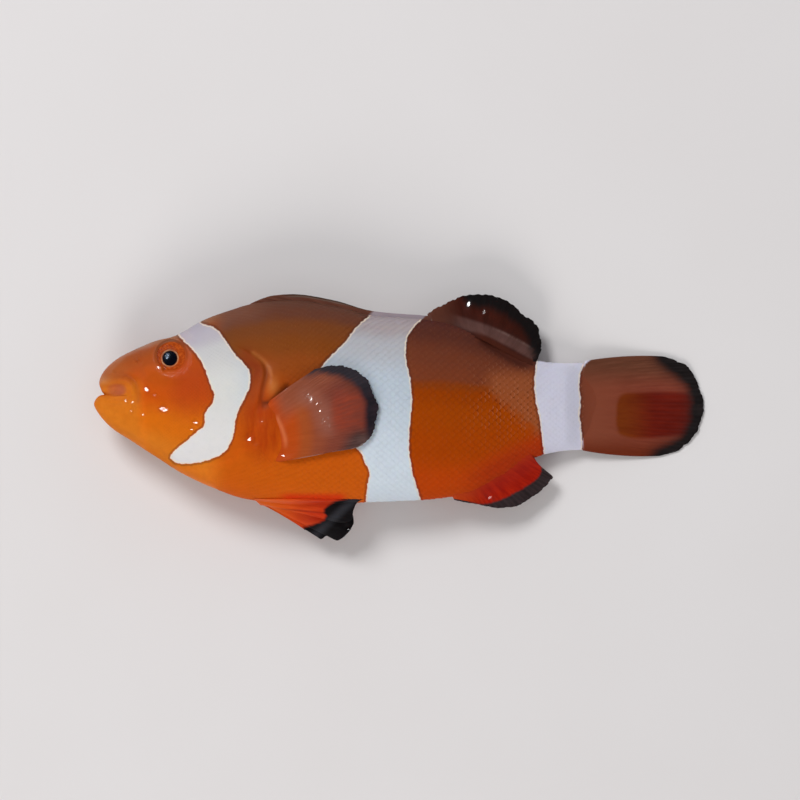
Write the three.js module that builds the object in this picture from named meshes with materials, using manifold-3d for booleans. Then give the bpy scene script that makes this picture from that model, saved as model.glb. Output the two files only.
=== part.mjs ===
// A life-size common clownfish, lying still on its right side. Millimetres.
// X runs from snout to tail, Y from belly to back, and Z is up, so the left side of the fish faces up.
// The origin is on the ground, under the middle of the bounding box.
import * as THREE from "three";
import { mergeVertices } from "three/addons/utils/BufferGeometryUtils.js";
import Module from "manifold-3d";

// ---------------------------------------------------------------- driving dimensions
const GAP = 0.3; // between neighbouring pieces
const FLANK_HEIGHT = 6.8; // the fish's middle plane over the ground, under the thick trunk
const FIN_THICKNESS = 0.6;
const FIN_ROOT_HALF = 0.85; // half thickness where a tail or back fin leaves the flesh
const FIN_FLARE = 1.6; // how far the thick root reaches into the fin
const DROOP_FROM = -2; // the tail sinks to the ground between these two stations
const DROOP_TO = 41;
const STATION_ZERO = 46; // a station is X plus this, behind the jaws
const TAIL_STATION = 74.6;
const HOLLOW_DEPTH = 2.6; // of the mouth, behind the lips
const EYE = { x: -33.85, y: 8.95, out: 2.75, radius: 2.5 };

const ORANGE = 0xc85a14;
const BROWN = 0x8f4523;
const DARK_BROWN = 0x7a3218;
const RED = 0x931a05;
const GREY_BROWN = 0x8d4e38;
const EYE_BLACK = 0x15151c;

// ---------------------------------------------------------------- curves
// A smooth function through knots [t, a, b, ...], which gives [a, b, ...] at any t.
function smooth(knots) {
  const slopes = knots.map((knot, i) => {
    const before = knots[Math.max(i - 1, 0)];
    const after = knots[Math.min(i + 1, knots.length - 1)];
    return knot.map((_, k) => (after[k] - before[k]) / (after[0] - before[0]));
  });
  return (t) => {
    let i = 0;
    while (i < knots.length - 2 && t > knots[i + 1][0]) i++;
    const [from, to] = [knots[i], knots[i + 1]];
    const span = to[0] - from[0];
    const u = Math.min(Math.max((t - from[0]) / span, 0), 1);
    const arrived = u * u * (3 - 2 * u);
    const leaving = u * (1 - u) ** 2 * span;
    const arriving = u * u * (u - 1) * span;
    const blend = (a, k) => a + (to[k] - a) * arrived + leaving * slopes[i][k] + arriving * slopes[i + 1][k];
    return from.map(blend).slice(1);
  };
}

const evenly = (points) => smooth(points.map((p, i) => [i / (points.length - 1), ...p]));
const ease = (t) => {
  const u = Math.min(Math.max(t, 0), 1);
  return u * u * (3 - 2 * u);
};
const middlePlane = (x) =>
  FLANK_HEIGHT - (FLANK_HEIGHT - FIN_THICKNESS / 2) * ease((x - DROOP_FROM) / (DROOP_TO - DROOP_FROM));

// ---------------------------------------------------------------- the body's three guide curves
// The back line from the upper lip over forehead and nape to the tail: [station, x, y].
const backGuide = smooth([
  [0, -43.5, 3.3], [1, -44.1, 4.2], [2, -44.35, 5.3], [3, -43.95, 6.4], [4, -43.05, 7.6], [5, -41.7, 8.7],
  [6, -40, 9.65], [9.8, -36.2, 11.3], [13, -33, 12.1], [16.5, -29.5, 14.1], [20.8, -25.2, 15.8],
  [25.4, -20.6, 17.0], [30.8, -15.2, 17.3], [36.9, -9.1, 16.4], [41.8, -4.2, 15.1], [49.9, 3.9, 14.5],
  [56, 10, 13.3], [62, 16, 10.7], [66.5, 20.5, 8.5], [70, 24, 8.05], [TAIL_STATION, 27.4, 8.1],
]);
// The belly line from the lower lip along the throat and belly to the tail: [station, x, y].
const bellyGuide = smooth([
  [0, -43.5, 3], [1, -44.6, 2.5], [1.8, -45.15, 1.75], [2.8, -44.75, 0.7], [4, -43.6, -0.8],
  [5, -42.1, -2.15], [6, -40, -3.5], [10.5, -35.5, -6.4], [14, -32, -8.6], [18.5, -27.5, -10.7],
  [23.4, -22.6, -12.3], [31, -15, -13.2], [41, -5, -12.8], [49.8, 3.8, -12.4], [56, 10, -11.6],
  [61, 15, -9.4], [66, 20, -6.3], [70, 24, -5.25], [TAIL_STATION, 27.4, -5.1],
]);
// The widest line along the flank: [station, x, y, half width, squareness of the section].
const flankGuide = smooth([
  [0, -40.3, 3, 3.2, 2.2], [2, -39.7, 3, 3.8, 2.25], [4, -39, 2.9, 4.3, 2.3], [6, -38, 2.8, 4.75, 2.35],
  [10, -35.6, 2.5, 5.5, 2.4], [13, -33, 2.2, 6.1, 2.4], [18, -28, 2, 6.95, 2.3], [24, -22, 2, 7.45, 2.2],
  [31, -15, 2.2, 7.4, 2.15], [38, -8, 2.2, 6.95, 2.1], [46, 0, 1.8, 5.9, 2.05], [54, 8, 1.5, 4.6, 2],
  [61, 15, 1.4, 3.4, 2], [67, 21, 1.4, 2.5, 2], [72, 26, 1.5, 1.8, 2], [TAIL_STATION, 30, 1.6, 1.05, 2],
]);

// The body's surface, grown by some amount. The angle starts at the back and turns over the left side.
function bodyPoint(station, angle, grown = 0) {
  const [cos, sin] = [Math.cos(angle), Math.sin(angle)];
  const [edgeX, edgeY] = cos >= 0 ? backGuide(station) : bellyGuide(station);
  const [flankX, flankY, width, square] = flankGuide(station);
  const reach = Math.abs(cos) ** (2 / square);
  const x = flankX + (edgeX - flankX) * cos * cos;
  const y = flankY + (edgeY + Math.sign(cos) * grown - flankY) * reach;
  const z = (width + grown) * Math.sign(sin) * Math.abs(sin) ** (2 / square);
  return [x, y, middlePlane(x) + z];
}

// How far the left flank stands over the middle plane, at a place behind the head.
function flankRise(x, y) {
  const station = x + STATION_ZERO;
  const [, flankY, width, square] = flankGuide(station);
  const edgeY = (y > flankY ? backGuide(station) : bellyGuide(station))[1];
  const share = Math.min((y - flankY) / (edgeY - flankY), 1);
  return width * (1 - share ** square) ** (1 / square);
}

// ---------------------------------------------------------------- solids
const wasm = await Module();
wasm.setup();

function solidOf(geometry) {
  const bare = geometry.clone();
  bare.deleteAttribute("normal");
  bare.deleteAttribute("uv");
  const merged = mergeVertices(bare, 1e-4);
  return new wasm.Manifold(
    new wasm.Mesh({
      numProp: 3,
      vertProperties: merged.attributes.position.array,
      triVerts: new Uint32Array(merged.index.array),
    }),
  );
}

function solidFrom(points, index) {
  const geometry = new THREE.BufferGeometry();
  geometry.setAttribute("position", new THREE.Float32BufferAttribute(points.flat(), 3));
  geometry.setIndex(index);
  return solidOf(geometry);
}

// A closed surface from rows of points, each row a loop, with a tip point at either end.
function loft(rows, firstTip, lastTip) {
  const around = rows[0].length;
  const last = rows.length - 1;
  const [nose, end] = [rows.length * around, rows.length * around + 1];
  const index = [];
  for (let k = 0; k < around; k++) {
    const at = (row, step) => row * around + ((k + step) % around);
    for (let row = 0; row < last; row++) {
      index.push(at(row, 0), at(row, 1), at(row + 1, 0));
      index.push(at(row, 1), at(row + 1, 1), at(row + 1, 0));
    }
    index.push(nose, at(0, 1), at(0, 0));
    index.push(end, at(last, 0), at(last, 1));
  }
  return solidFrom([...rows.flat(), firstTip, lastTip], index);
}

// A thin closed sheet. surface(s, t) gives a point of its middle layer and the half thickness there,
// with s running along the root and t out to the free edge.
function sheet(surface, along, out) {
  const points = [];
  for (let i = 0; i <= along; i++)
    for (let j = 0; j <= out; j++) {
      const [x, y, z, half] = surface(i / along, j / out);
      points.push([x, y, z + half], [x, y, z - half]);
    }
  const upper = (i, j) => 2 * (i * (out + 1) + j);
  const index = [];
  const quad = (a, b, c, d) => index.push(a, b, c, a, c, d);
  for (let i = 0; i < along; i++)
    for (let j = 0; j < out; j++) {
      const [a, b, c, d] = [upper(i, j), upper(i, j + 1), upper(i + 1, j + 1), upper(i + 1, j)];
      quad(d, c, b, a);
      quad(a + 1, b + 1, c + 1, d + 1);
      if (i === 0) quad(a, b, b + 1, a + 1);
      if (i === along - 1) quad(c, d, d + 1, c + 1);
      if (j === 0) quad(d, a, a + 1, d + 1);
      if (j === out - 1) quad(b, c, c + 1, b + 1);
    }
  const made = solidFrom(points, index);
  return made.volume() > 0 ? made : solidFrom(points, index.reverse());
}

// An upright prism over an outline of points [x, y], each pushed outwards by some amount.
function prism(outline, grown, low, high) {
  const count = outline.length;
  const turn = outline.reduce((sum, p, i) => {
    const q = outline[(i + 1) % count];
    return sum + p[0] * q[1] - q[0] * p[1];
  }, 0);
  const pushed = outline.map((p, i) => {
    const [before, after] = [outline[(i + count - 1) % count], outline[(i + 1) % count]];
    const [dx, dy] = [after[0] - before[0], after[1] - before[1]];
    const push = (grown * Math.sign(turn)) / Math.hypot(dx, dy);
    return new THREE.Vector2(p[0] + dy * push, p[1] - dx * push);
  });
  const shape = new THREE.Shape(pushed);
  const geometry = new THREE.ExtrudeGeometry(shape, { depth: high - low, bevelEnabled: false });
  return solidOf(geometry.translate(0, 0, low));
}

// Points along a smooth line through a few given ones.
const line = (through, count) => {
  const at = evenly(through);
  return Array.from({ length: count + 1 }, (_, i) => at(i / count));
};
const largest = (solid) => solid.decompose().sort((a, b) => b.volume() - a.volume())[0];

function body(grown, stations, around) {
  const ring = (station) =>
    Array.from({ length: around }, (_, k) => bodyPoint(station, (2 * Math.PI * k) / around, grown));
  const rings = stations.map(ring);
  const [mouthX, mouthY] = backGuide(0);
  const level = middlePlane(mouthX);
  const hollow = rings[0].map(([x, y, z]) => [x + HOLLOW_DEPTH * 0.6, y, level + (z - level) * 0.6]);
  const throat = [mouthX + HOLLOW_DEPTH, mouthY, level];
  const [tailX, tailY] = flankGuide(TAIL_STATION);
  const tailEnd = [tailX + 0.3 + grown, tailY, middlePlane(tailX)];
  return loft(grown ? rings : [hollow, ...rings], throat, tailEnd);
}

const STATIONS = [
  ...Array.from({ length: 7 }, (_, i) => i), // lips and snout
  ...Array.from({ length: 25 }, (_, i) => 7.5 + ((TAIL_STATION - 7.5) * i) / 24),
];
const AROUND = 32;
const ground = prism([[-60, -40], [60, -40], [60, 40], [-60, 40]], 0, -20, 0);
const whole = body(0, STATIONS, AROUND).subtract(ground);
const clear = body(GAP, STATIONS, AROUND);

// ---------------------------------------------------------------- fins
// A fin runs from points along its root, inside the flesh, to points along its free edge.
function fin({ root, edge, bow = 0, lean = () => 0, rootHalf = FIN_ROOT_HALF, across = 16, out = 6 }) {
  const [from, to] = [evenly(root), evenly(edge)];
  const surface = (s, t) => {
    const [a, b] = [from(s), to(s)];
    const x = a[0] + (b[0] - a[0]) * t;
    const y = a[1] + (b[1] - a[1]) * t + bow * (1 - 2 * s) * 4 * t * (1 - t);
    const away = Math.hypot(b[0] - a[0], b[1] - a[1]) * t;
    const half = FIN_THICKNESS / 2 + (rootHalf - FIN_THICKNESS / 2) * Math.exp(-((away / FIN_FLARE) ** 2));
    return [x, y, Math.max(middlePlane(x) + lean(s, t, x, y), half), half];
  };
  return largest(sheet(surface, across, out).subtract(clear).subtract(ground));
}

const tailFin = () =>
  fin({
    root: [[25.4, 7.6], [28.2, 4.8], [28.6, 1.6], [28.2, -1.8], [25.4, -4.6]],
    edge: [[40.4, 8.7], [43.3, 7.2], [44.6, 4], [45.15, 0.9], [44, -2.6], [41.6, -4.6], [38.4, -5.7]],
    bow: 0.45,
    across: 20,
    out: 8,
  });

const foldedSpines = () =>
  fin({
    root: [[-21.5, 15.6], [-15, 15.9], [-9, 15.2], [-4, 13.8], [4, 13.2]],
    edge: [[-21, 17.2], [-18.6, 17.95], [-14.5, 18.1], [-9.2, 17.15], [-4, 15.75], [4.2, 15.3]],
    rootHalf: 0.9,
    across: 18,
    out: 2,
  });

const softBackFin = () =>
  fin({
    root: [[5.1, 13.4], [10, 12.2], [15, 9.9], [19.2, 7.8]],
    edge: [
      [5.1, 15.8], [8.6, 17.7], [12.6, 18.2], [16, 17.15],
      [19, 14.95], [20.7, 12.4], [20.95, 10.4], [20.6, 8.7],
    ],
    out: 5,
  });

const analFin = () =>
  fin({
    root: [[8, -10.8], [12, -9.6], [16, -7.4], [19.6, -5]],
    edge: [
      [8.4, -12.6], [12, -13.15], [15.4, -13.5], [18, -13],
      [20.2, -11.3], [22.1, -9.6], [22.5, -8.7], [21, -7.5],
    ],
    out: 5,
  });

// The breast fins: the left lies spread over the flank, the right is pressed between flank and ground.
const breastFinRoot = [[-20, 1.6], [-19, -1], [-18.7, -4], [-19.2, -6.9]];
const liftedOverFlank = (s, t, x, y) => {
  const raised = 0.75 + 0.9 * (1 - s) * Math.exp(-(((t - 0.35) / 0.3) ** 2)) - 0.25 * ease((t - 0.5) * 2);
  return flankRise(x, y) + raised - 1.6 * (1 - ease(t / 0.22));
};
const leftBreastFin = () =>
  fin({
    root: breastFinRoot,
    edge: [
      [-12.2, 7.1], [-9.1, 7.75], [-6.2, 6.7], [-4.1, 4.2],
      [-3.1, 0.9], [-3.9, -2.4], [-6, -4.5], [-9.4, -5],
    ],
    rootHalf: 0.5,
    lean: liftedOverFlank,
    out: 9,
  });
// The right one, or with some growth the room it takes from the trunk. It lies flat on the ground.
function rightBreastFin(grown) {
  const edge = [[-9, 4.2], [-6, 3.6], [-4.2, 1.4], [-4, -1.4], [-5.4, -3.6], [-8, -4.6]];
  const [from, to] = [evenly(breastFinRoot), evenly(edge)];
  const half = FIN_THICKNESS / 2 + grown;
  const surface = (s, t) => {
    const [[ax, ay], [bx, by]] = [from(s), to(s)];
    const stretch = (along, length) => along + ((2 * along - 1) * grown) / length;
    const far = stretch(t, Math.hypot(bx - ax, by - ay));
    const spread = (1 - 2 * s) * grown;
    return [ax + (bx - ax) * far, ay + (by - ay) * far + spread, FIN_THICKNESS / 2, half];
  };
  return sheet(surface, 10, 5);
}

// The belly fins: folded fans, the left one over the right.
const leftBellyFin = () =>
  fin({
    root: [[-20.2, -11.3], [-19.8, -12.4]],
    edge: [[-5.3, -12.3], [-6.3, -13.9], [-6.9, -15.3], [-9.6, -15.9]],
    rootHalf: 0.5,
    lean: (s, t) => 4.3 - 2.5 * s - 1.2 * t,
    across: 8,
  });
const rightBellyFin = () =>
  fin({
    root: [[-20.4, -11.6], [-20.2, -12.9]],
    edge: [[-7.2, -15.5], [-7.6, -17.3], [-9.1, -18.2], [-12.4, -17.3]],
    rootHalf: 0.5,
    lean: (s, t) => 0.6 - 1.4 * s - 2.4 * t,
    bow: -0.25,
    across: 8,
  });

// ---------------------------------------------------------------- parting the body
const TOP = 30;
const BOTTOM = -10;
// The gill slit, from the nape down behind the gill cover to the throat.
const gillSlit = line(
  [[-26.6, 17.5], [-23.2, 10], [-20.8, 4.5], [-20.8, -0.5], [-22.7, -4.8], [-26.6, -8], [-30.6, -12]],
  18,
);
const headOutline = [...gillSlit, [-50, -12], [-50, 17.5]];
// The gill cover: its hind edge follows the slit, its front edge the cheek.
const coverOutline = [
  ...line([[-24.6, 9.6], [-22, 5], [-21.6, 0.8], [-22.7, -3.4], [-25.6, -6.2]], 10),
  ...line([[-28.6, -6.4], [-29.6, -2], [-29.4, 2.4], [-28.6, 6.6], [-26.6, 9.8]], 10),
];
const lowerJawOutline = [
  [-50, 3.05], [-43.4, 3.15], [-40.2, 3.05], [-38.6, 1.4], [-37.2, -2], [-36.6, -9], [-50, -9],
];
const upperJawOutline = [
  [-50, 3.35], [-43.4, 3.45], [-40, 3.4], [-39.6, 4.8], [-40.6, 6.4], [-42.4, 7], [-50, 7],
];
const COVER_DEPTH = 3.4; // from the middle plane out to the inside of the gill cover

function partBody() {
  const parts = {};
  let rest = whole;
  const cutOut = (name, outline, low, high) => {
    parts[name] = largest(rest.intersect(prism(outline, -GAP / 2, low, high)));
    rest = rest.subtract(prism(outline, GAP / 2, low - GAP, high + GAP));
  };
  const stalkFrom = 20.6; // where the trunk ends and the tail stalk begins
  cutOut("tail_stalk", [[stalkFrom, -20], [40, -20], [40, 20], [stalkFrom, 20]], BOTTOM, TOP);
  const head = largest(rest.intersect(prism(headOutline, -GAP / 2, BOTTOM, TOP)));
  const trunk = rest.subtract(prism(headOutline, GAP / 2, BOTTOM, TOP));
  parts.trunk = largest(trunk.subtract(rightBreastFin(GAP)));
  rest = head;
  const level = FLANK_HEIGHT;
  cutOut("gill_cover_left", coverOutline, level + COVER_DEPTH, TOP);
  cutOut("gill_cover_right", coverOutline, BOTTOM, level - COVER_DEPTH);
  cutOut("lower_jaw", lowerJawOutline, BOTTOM, TOP);
  cutOut("upper_jaw", upperJawOutline, BOTTOM, TOP);
  for (const side of [1, -1]) rest = rest.subtract(eyeball(side, EYE.radius + GAP));
  parts.head = largest(rest);
  return parts;
}

function eyeball(side, radius) {
  const ball = new THREE.SphereGeometry(radius, 18, 12);
  const z = middlePlane(EYE.x) + side * EYE.out;
  return solidOf(ball.rotateX(Math.PI / 2).translate(EYE.x, EYE.y, z));
}

// ---------------------------------------------------------------- the fish
const fish = new THREE.Group();

function show(name, solid, colour, roughness = 0.35) {
  const { vertProperties, triVerts } = solid.getMesh();
  const geometry = new THREE.BufferGeometry();
  geometry.setAttribute("position", new THREE.Float32BufferAttribute(vertProperties, 3));
  geometry.setIndex(new THREE.BufferAttribute(triVerts, 1));
  geometry.computeVertexNormals();
  const material = new THREE.MeshStandardMaterial({ color: colour, roughness, metalness: 0 });
  const mesh = new THREE.Mesh(geometry, material);
  mesh.name = name;
  fish.add(mesh);
}

const parts = partBody();

show("head", parts.head, ORANGE);
show("upper_jaw", parts.upper_jaw, ORANGE);
show("lower_jaw", parts.lower_jaw, ORANGE);
show("gill_cover_left", parts.gill_cover_left, ORANGE);
show("gill_cover_right", parts.gill_cover_right, ORANGE);
show("trunk", parts.trunk, ORANGE);
show("tail_stalk", parts.tail_stalk, BROWN);
show("tail_fin", tailFin(), DARK_BROWN);
show("back_fin_spines", foldedSpines(), BROWN);
show("back_fin_soft", softBackFin(), DARK_BROWN);
show("anal_fin", analFin(), RED);
show("breast_fin_left", leftBreastFin(), GREY_BROWN);
show("breast_fin_right", rightBreastFin(0), GREY_BROWN);
show("belly_fin_left", leftBellyFin(), RED);
show("belly_fin_right", rightBellyFin(), RED);
show("eye_left", eyeball(1, EYE.radius), EYE_BLACK, 0.1);
show("eye_right", eyeball(-1, EYE.radius), EYE_BLACK, 0.1);

export default fish;
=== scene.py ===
"""A life-size common clownfish, lying still on its right side.

Lengths are worked out in millimetres, and the meshes are built in metres. X runs from snout to tail, Y from
belly to back, and Z is up, out of the fish's left side. The ground is at zero.
"""

import bpy
import numpy as np
from bpy.props import FloatProperty, FloatVectorProperty, IntProperty, PointerProperty
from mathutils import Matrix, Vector


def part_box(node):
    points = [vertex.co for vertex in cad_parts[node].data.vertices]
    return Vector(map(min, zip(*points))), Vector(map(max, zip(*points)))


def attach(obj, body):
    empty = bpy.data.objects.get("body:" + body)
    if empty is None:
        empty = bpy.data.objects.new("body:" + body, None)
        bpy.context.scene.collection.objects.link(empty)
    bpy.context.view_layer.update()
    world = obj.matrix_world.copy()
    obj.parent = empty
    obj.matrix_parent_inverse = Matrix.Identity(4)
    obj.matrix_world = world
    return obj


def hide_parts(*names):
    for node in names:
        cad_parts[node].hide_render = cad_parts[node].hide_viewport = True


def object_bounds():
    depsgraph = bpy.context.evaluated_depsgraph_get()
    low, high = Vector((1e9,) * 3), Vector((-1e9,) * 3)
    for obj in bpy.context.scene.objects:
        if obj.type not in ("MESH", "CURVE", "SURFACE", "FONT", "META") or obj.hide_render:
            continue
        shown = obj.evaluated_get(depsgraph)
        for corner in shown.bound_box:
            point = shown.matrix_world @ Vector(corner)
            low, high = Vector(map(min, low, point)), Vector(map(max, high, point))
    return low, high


bl_info = {
    "name": "Clownfish",
    "version": (1, 0, 0),
    "blender": (4, 5, 0),
    "location": "3D View > Sidebar > Clownfish",
    "description": "Builds a still, scaled clownfish over its fixed solids",
    "category": "Object",
}

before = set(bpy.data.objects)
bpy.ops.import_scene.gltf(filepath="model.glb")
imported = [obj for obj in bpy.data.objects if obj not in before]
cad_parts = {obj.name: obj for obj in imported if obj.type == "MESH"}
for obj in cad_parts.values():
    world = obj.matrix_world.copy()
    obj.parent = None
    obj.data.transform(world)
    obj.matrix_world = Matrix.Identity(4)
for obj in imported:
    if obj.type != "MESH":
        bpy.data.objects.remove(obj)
SOLIDS_BOX = [list(corner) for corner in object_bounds()]
MM = 0.001
BODY = "root"
FLESH = ("head", "upper_jaw", "lower_jaw", "gill_cover_left", "gill_cover_right", "trunk", "tail_stalk")


# ---------------------------------------------------------------- curves
def smooth(knots):
    """A smooth function through rows of knots [t, a, b, ...], giving [a, b, ...] at any t."""
    knots = np.array(knots, float)
    t, values = knots[:, 0], knots[:, 1:]
    order = np.arange(len(t))
    before, after = np.maximum(order - 1, 0), np.minimum(order + 1, len(t) - 1)
    slopes = (values[after] - values[before]) / (t[after] - t[before])[:, None]

    def at(x):
        x = np.asarray(x, float)
        i = np.clip(np.searchsorted(t, x, side="right") - 1, 0, len(t) - 2)
        span = t[i + 1] - t[i]
        u = np.clip((x - t[i]) / span, 0, 1)[..., None]
        span = span[..., None]
        arrived = u * u * (3 - 2 * u)
        leaving, arriving = u * (1 - u) ** 2 * span, u * u * (u - 1) * span
        between = values[i] + (values[i + 1] - values[i]) * arrived
        return between + leaving * slopes[i] + arriving * slopes[i + 1]

    return at


def evenly(points):
    """A smooth function through points, from the first at 0 to the last at 1."""
    return smooth([[i / (len(points) - 1), *p] for i, p in enumerate(points)])


def line(points, count=60):
    """Many points along a smooth line through a few."""
    return evenly(points)(np.linspace(0, 1, count))


def ease(t):
    """A soft step from 0 at 0 to 1 at 1."""
    u = np.clip(t, 0, 1)
    return u * u * (3 - 2 * u)


def bell(distance, width):
    """1 at no distance, falling softly on both sides."""
    return np.exp(-((distance / width) ** 2))


def signed_distance(x, y, path, reach=4.0):
    """Distance from each place to a path, positive on the path's left, and how far along the path it is.

    Places further off than the reach are given the reach, and stand at the path's start.
    """
    across, up = np.ravel(x), np.ravel(y)
    step_x, step_y = np.diff(path, axis=0).T
    length = step_x**2 + step_y**2
    low, high = path.min(0) - reach, path.max(0) + reach
    near = np.flatnonzero((across > low[0]) & (across < high[0]) & (up > low[1]) & (up < high[1]))
    gap, along = np.full(len(across), float(reach)), np.zeros(len(across))
    at_once = 6000  # places compared with the whole path in one go, to save memory
    for part in np.array_split(near, len(near) // at_once + 1):
        away_x, away_y = across[part, None] - path[:-1, 0], up[part, None] - path[:-1, 1]
        t = np.clip((away_x * step_x + away_y * step_y) / length, 0, 1)
        squared = (away_x - t * step_x) ** 2 + (away_y - t * step_y) ** 2
        row, at = np.arange(len(part)), squared.argmin(1)
        turn = step_x[at] * away_y[row, at] - step_y[at] * away_x[row, at]
        gap[part] = np.copysign(np.sqrt(squared[row, at]), turn + 1e-12)
        along[part] = (at + t[row, at]) / len(length)
    return gap.reshape(np.shape(x)), along.reshape(np.shape(x))


def depth_inside(x, y, outline):
    """Distance to a closed outline's edge, positive inside."""
    closed = np.vstack([outline, outline[:1]])
    gap = np.abs(signed_distance(x, y, closed)[0])
    inside = np.zeros(np.shape(x), bool)
    for (ax, ay), (bx, by) in zip(closed[:-1], closed[1:]):
        if ay == by:
            continue
        crosses = (ay > y) != (by > y)
        inside ^= crosses & (x < (bx - ax) * (y - ay) / (by - ay) + ax)
    return np.where(inside, gap, -gap)


# ---------------------------------------------------------------- the body's form
FLANK_HEIGHT = 6.8  # of the middle plane over the ground, in front of the droop
DROOP_FROM, DROOP_TO = -2.0, 41.0  # where the tail's droop begins and ends along X
FIN_LEVEL = 0.3  # the middle of a fin that lies on the ground
TAIL_STATION = 74.6  # the skin's last ring, inside the tail fin
STATION_ZERO = 46.0  # a station is X plus this, behind the jaws
CLEARANCE = 0.02  # the least height of skin and fins over the ground

# The back line from the upper lip over forehead and nape to the tail: station, x, y.
BACK_LINE = smooth([
    [0, -43.5, 3.22], [1, -43.85, 4.15], [2, -44.27, 5.3], [3, -43.95, 6.4], [4, -43.05, 7.6],
    [5, -41.7, 8.7], [6, -40, 9.65], [9.8, -36.2, 11.3], [13, -33, 12.1], [16.5, -29.5, 14.1],
    [20.8, -25.2, 15.8], [25.4, -20.6, 17.0], [30.8, -15.2, 17.3], [36.9, -9.1, 16.4], [41.8, -4.2, 15.1],
    [49.9, 3.9, 14.5], [56, 10, 13.3], [62, 16, 10.7], [66.5, 20.5, 8.5], [70, 24, 8.05],
    [TAIL_STATION, 27.4, 8.1],
])
# The belly line from the lower lip along throat and belly to the tail: station, x, y.
BELLY_LINE = smooth([
    [0, -43.5, 3.1], [0.6, -44.2, 2.9], [1.1, -44.8, 2.45], [1.8, -45.15, 1.75], [2.8, -44.75, 0.7],
    [4, -43.6, -0.8], [5, -42.1, -2.15], [6, -40, -3.5], [10.5, -35.5, -6.4], [14, -32, -8.6],
    [18.5, -27.5, -10.7], [23.4, -22.6, -12.3], [31, -15, -13.2], [41, -5, -12.8], [49.8, 3.8, -12.4],
    [56, 10, -11.6], [61, 15, -9.4], [66, 20, -6.3], [70, 24, -5.25], [TAIL_STATION, 27.4, -5.1],
])
# The widest line along the flank: station, x, y, half width, squareness of the section.
FLANK_LINE = smooth([
    [0, -40.3, 3, 3.2, 2.2], [2, -39.7, 3, 3.8, 2.25], [4, -39, 2.9, 4.3, 2.3], [6, -38, 2.8, 4.75, 2.35],
    [10, -35.6, 2.5, 5.5, 2.4], [13, -33, 2.2, 6.1, 2.4], [18, -28, 2, 6.95, 2.3], [24, -22, 2, 7.45, 2.2],
    [31, -15, 2.2, 7.4, 2.15], [38, -8, 2.2, 6.95, 2.1], [46, 0, 1.8, 5.9, 2.05], [54, 8, 1.5, 4.6, 2],
    [61, 15, 1.4, 3.4, 2], [67, 21, 1.4, 2.5, 2], [72, 26, 1.5, 1.8, 2], [TAIL_STATION, 30, 1.6, 1.05, 2],
])

# Places and lines on the skin, as x, y. First the eye, the nostril and the mouth.
EYE_PLACE = (-33.6, 8.98)
PUPIL_SHIFT = (-0.18, -0.37)
EYE_LEAN = (0.18, -0.30)  # how steeply the eye's fold rises along X and Y, with the head's side
CORNEA_LEAN = (0.06, -0.15)
EYE_RIM = 4.8  # how far the eye's fold stands from the middle plane
NOSTRIL = (-38.5, 8.25)
# The gill cover's rear edge, the cheek's edge, and the folds of jaw, lips, chin and shoulder.
GILL_EDGE = line([
    (-24.6, 10.6), (-22.6, 9.8), (-20.9, 8.7), (-19.9, 7.4), (-19.8, 5.9), (-20.2, 4.2), (-20.5, 2.6),
    (-21.2, 1.0), (-21.4, -0.8), (-22.0, -2.8), (-23.6, -5.2), (-26.2, -6.9), (-29.6, -7.9),
], 80)
CHEEK_EDGE = line([
    (-30.6, 8.4), (-29.6, 5.4), (-29.3, 2), (-29.9, -1.2), (-32, -3.6), (-35.6, -4.6), (-39, -3.9),
], 40)
JAW_CREASE = line([
    (-41.3, 6.35), (-39.9, 6.0), (-38.9, 5.1), (-38.45, 3.8), (-38.4, 2.6), (-38.8, 1.6),
], 40)
LIP_CREASE = line([(-44.6, 2.2), (-43.2, 2.05), (-41.6, 1.95), (-40.3, 2.3)])
CHIN_CREASE = line([(-42.6, -1.2), (-40, -2.6), (-37, -4.4), (-34, -6.1), (-31.4, -7.4)])
SHOULDER_CREASE = line([(-20.6, 1.6), (-19.5, 2.0), (-18.2, 2.5), (-17.0, 3.7), (-15.9, 5.0)], 30)
SHOULDER_FOLD = line([(-21.5, 9.3), (-20.3, 8.4), (-19.3, 7.3), (-18.8, 6.0)], 30)
# The folds where the back fin and the anal fin leave the body, and where the nape's scales begin.
BACK_FIN_GROOVE = line([
    (11.2, 11.5), (13.2, 10.45), (15.0, 9.35), (16.4, 8.6), (17.9, 7.8), (19.8, 7.2),
], 30)
ANAL_FIN_GROOVE = line([(7.5, -11.2), (11.8, -9.1), (15.2, -7.2), (17.6, -6), (20, -4.8)])
NAPE_SCALES = line([
    (-31.6, 13.6), (-30.2, 12), (-27.6, 10.9), (-24.6, 10.3), (-21.8, 9.4), (-19.6, 8.6),
], 30)
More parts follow.
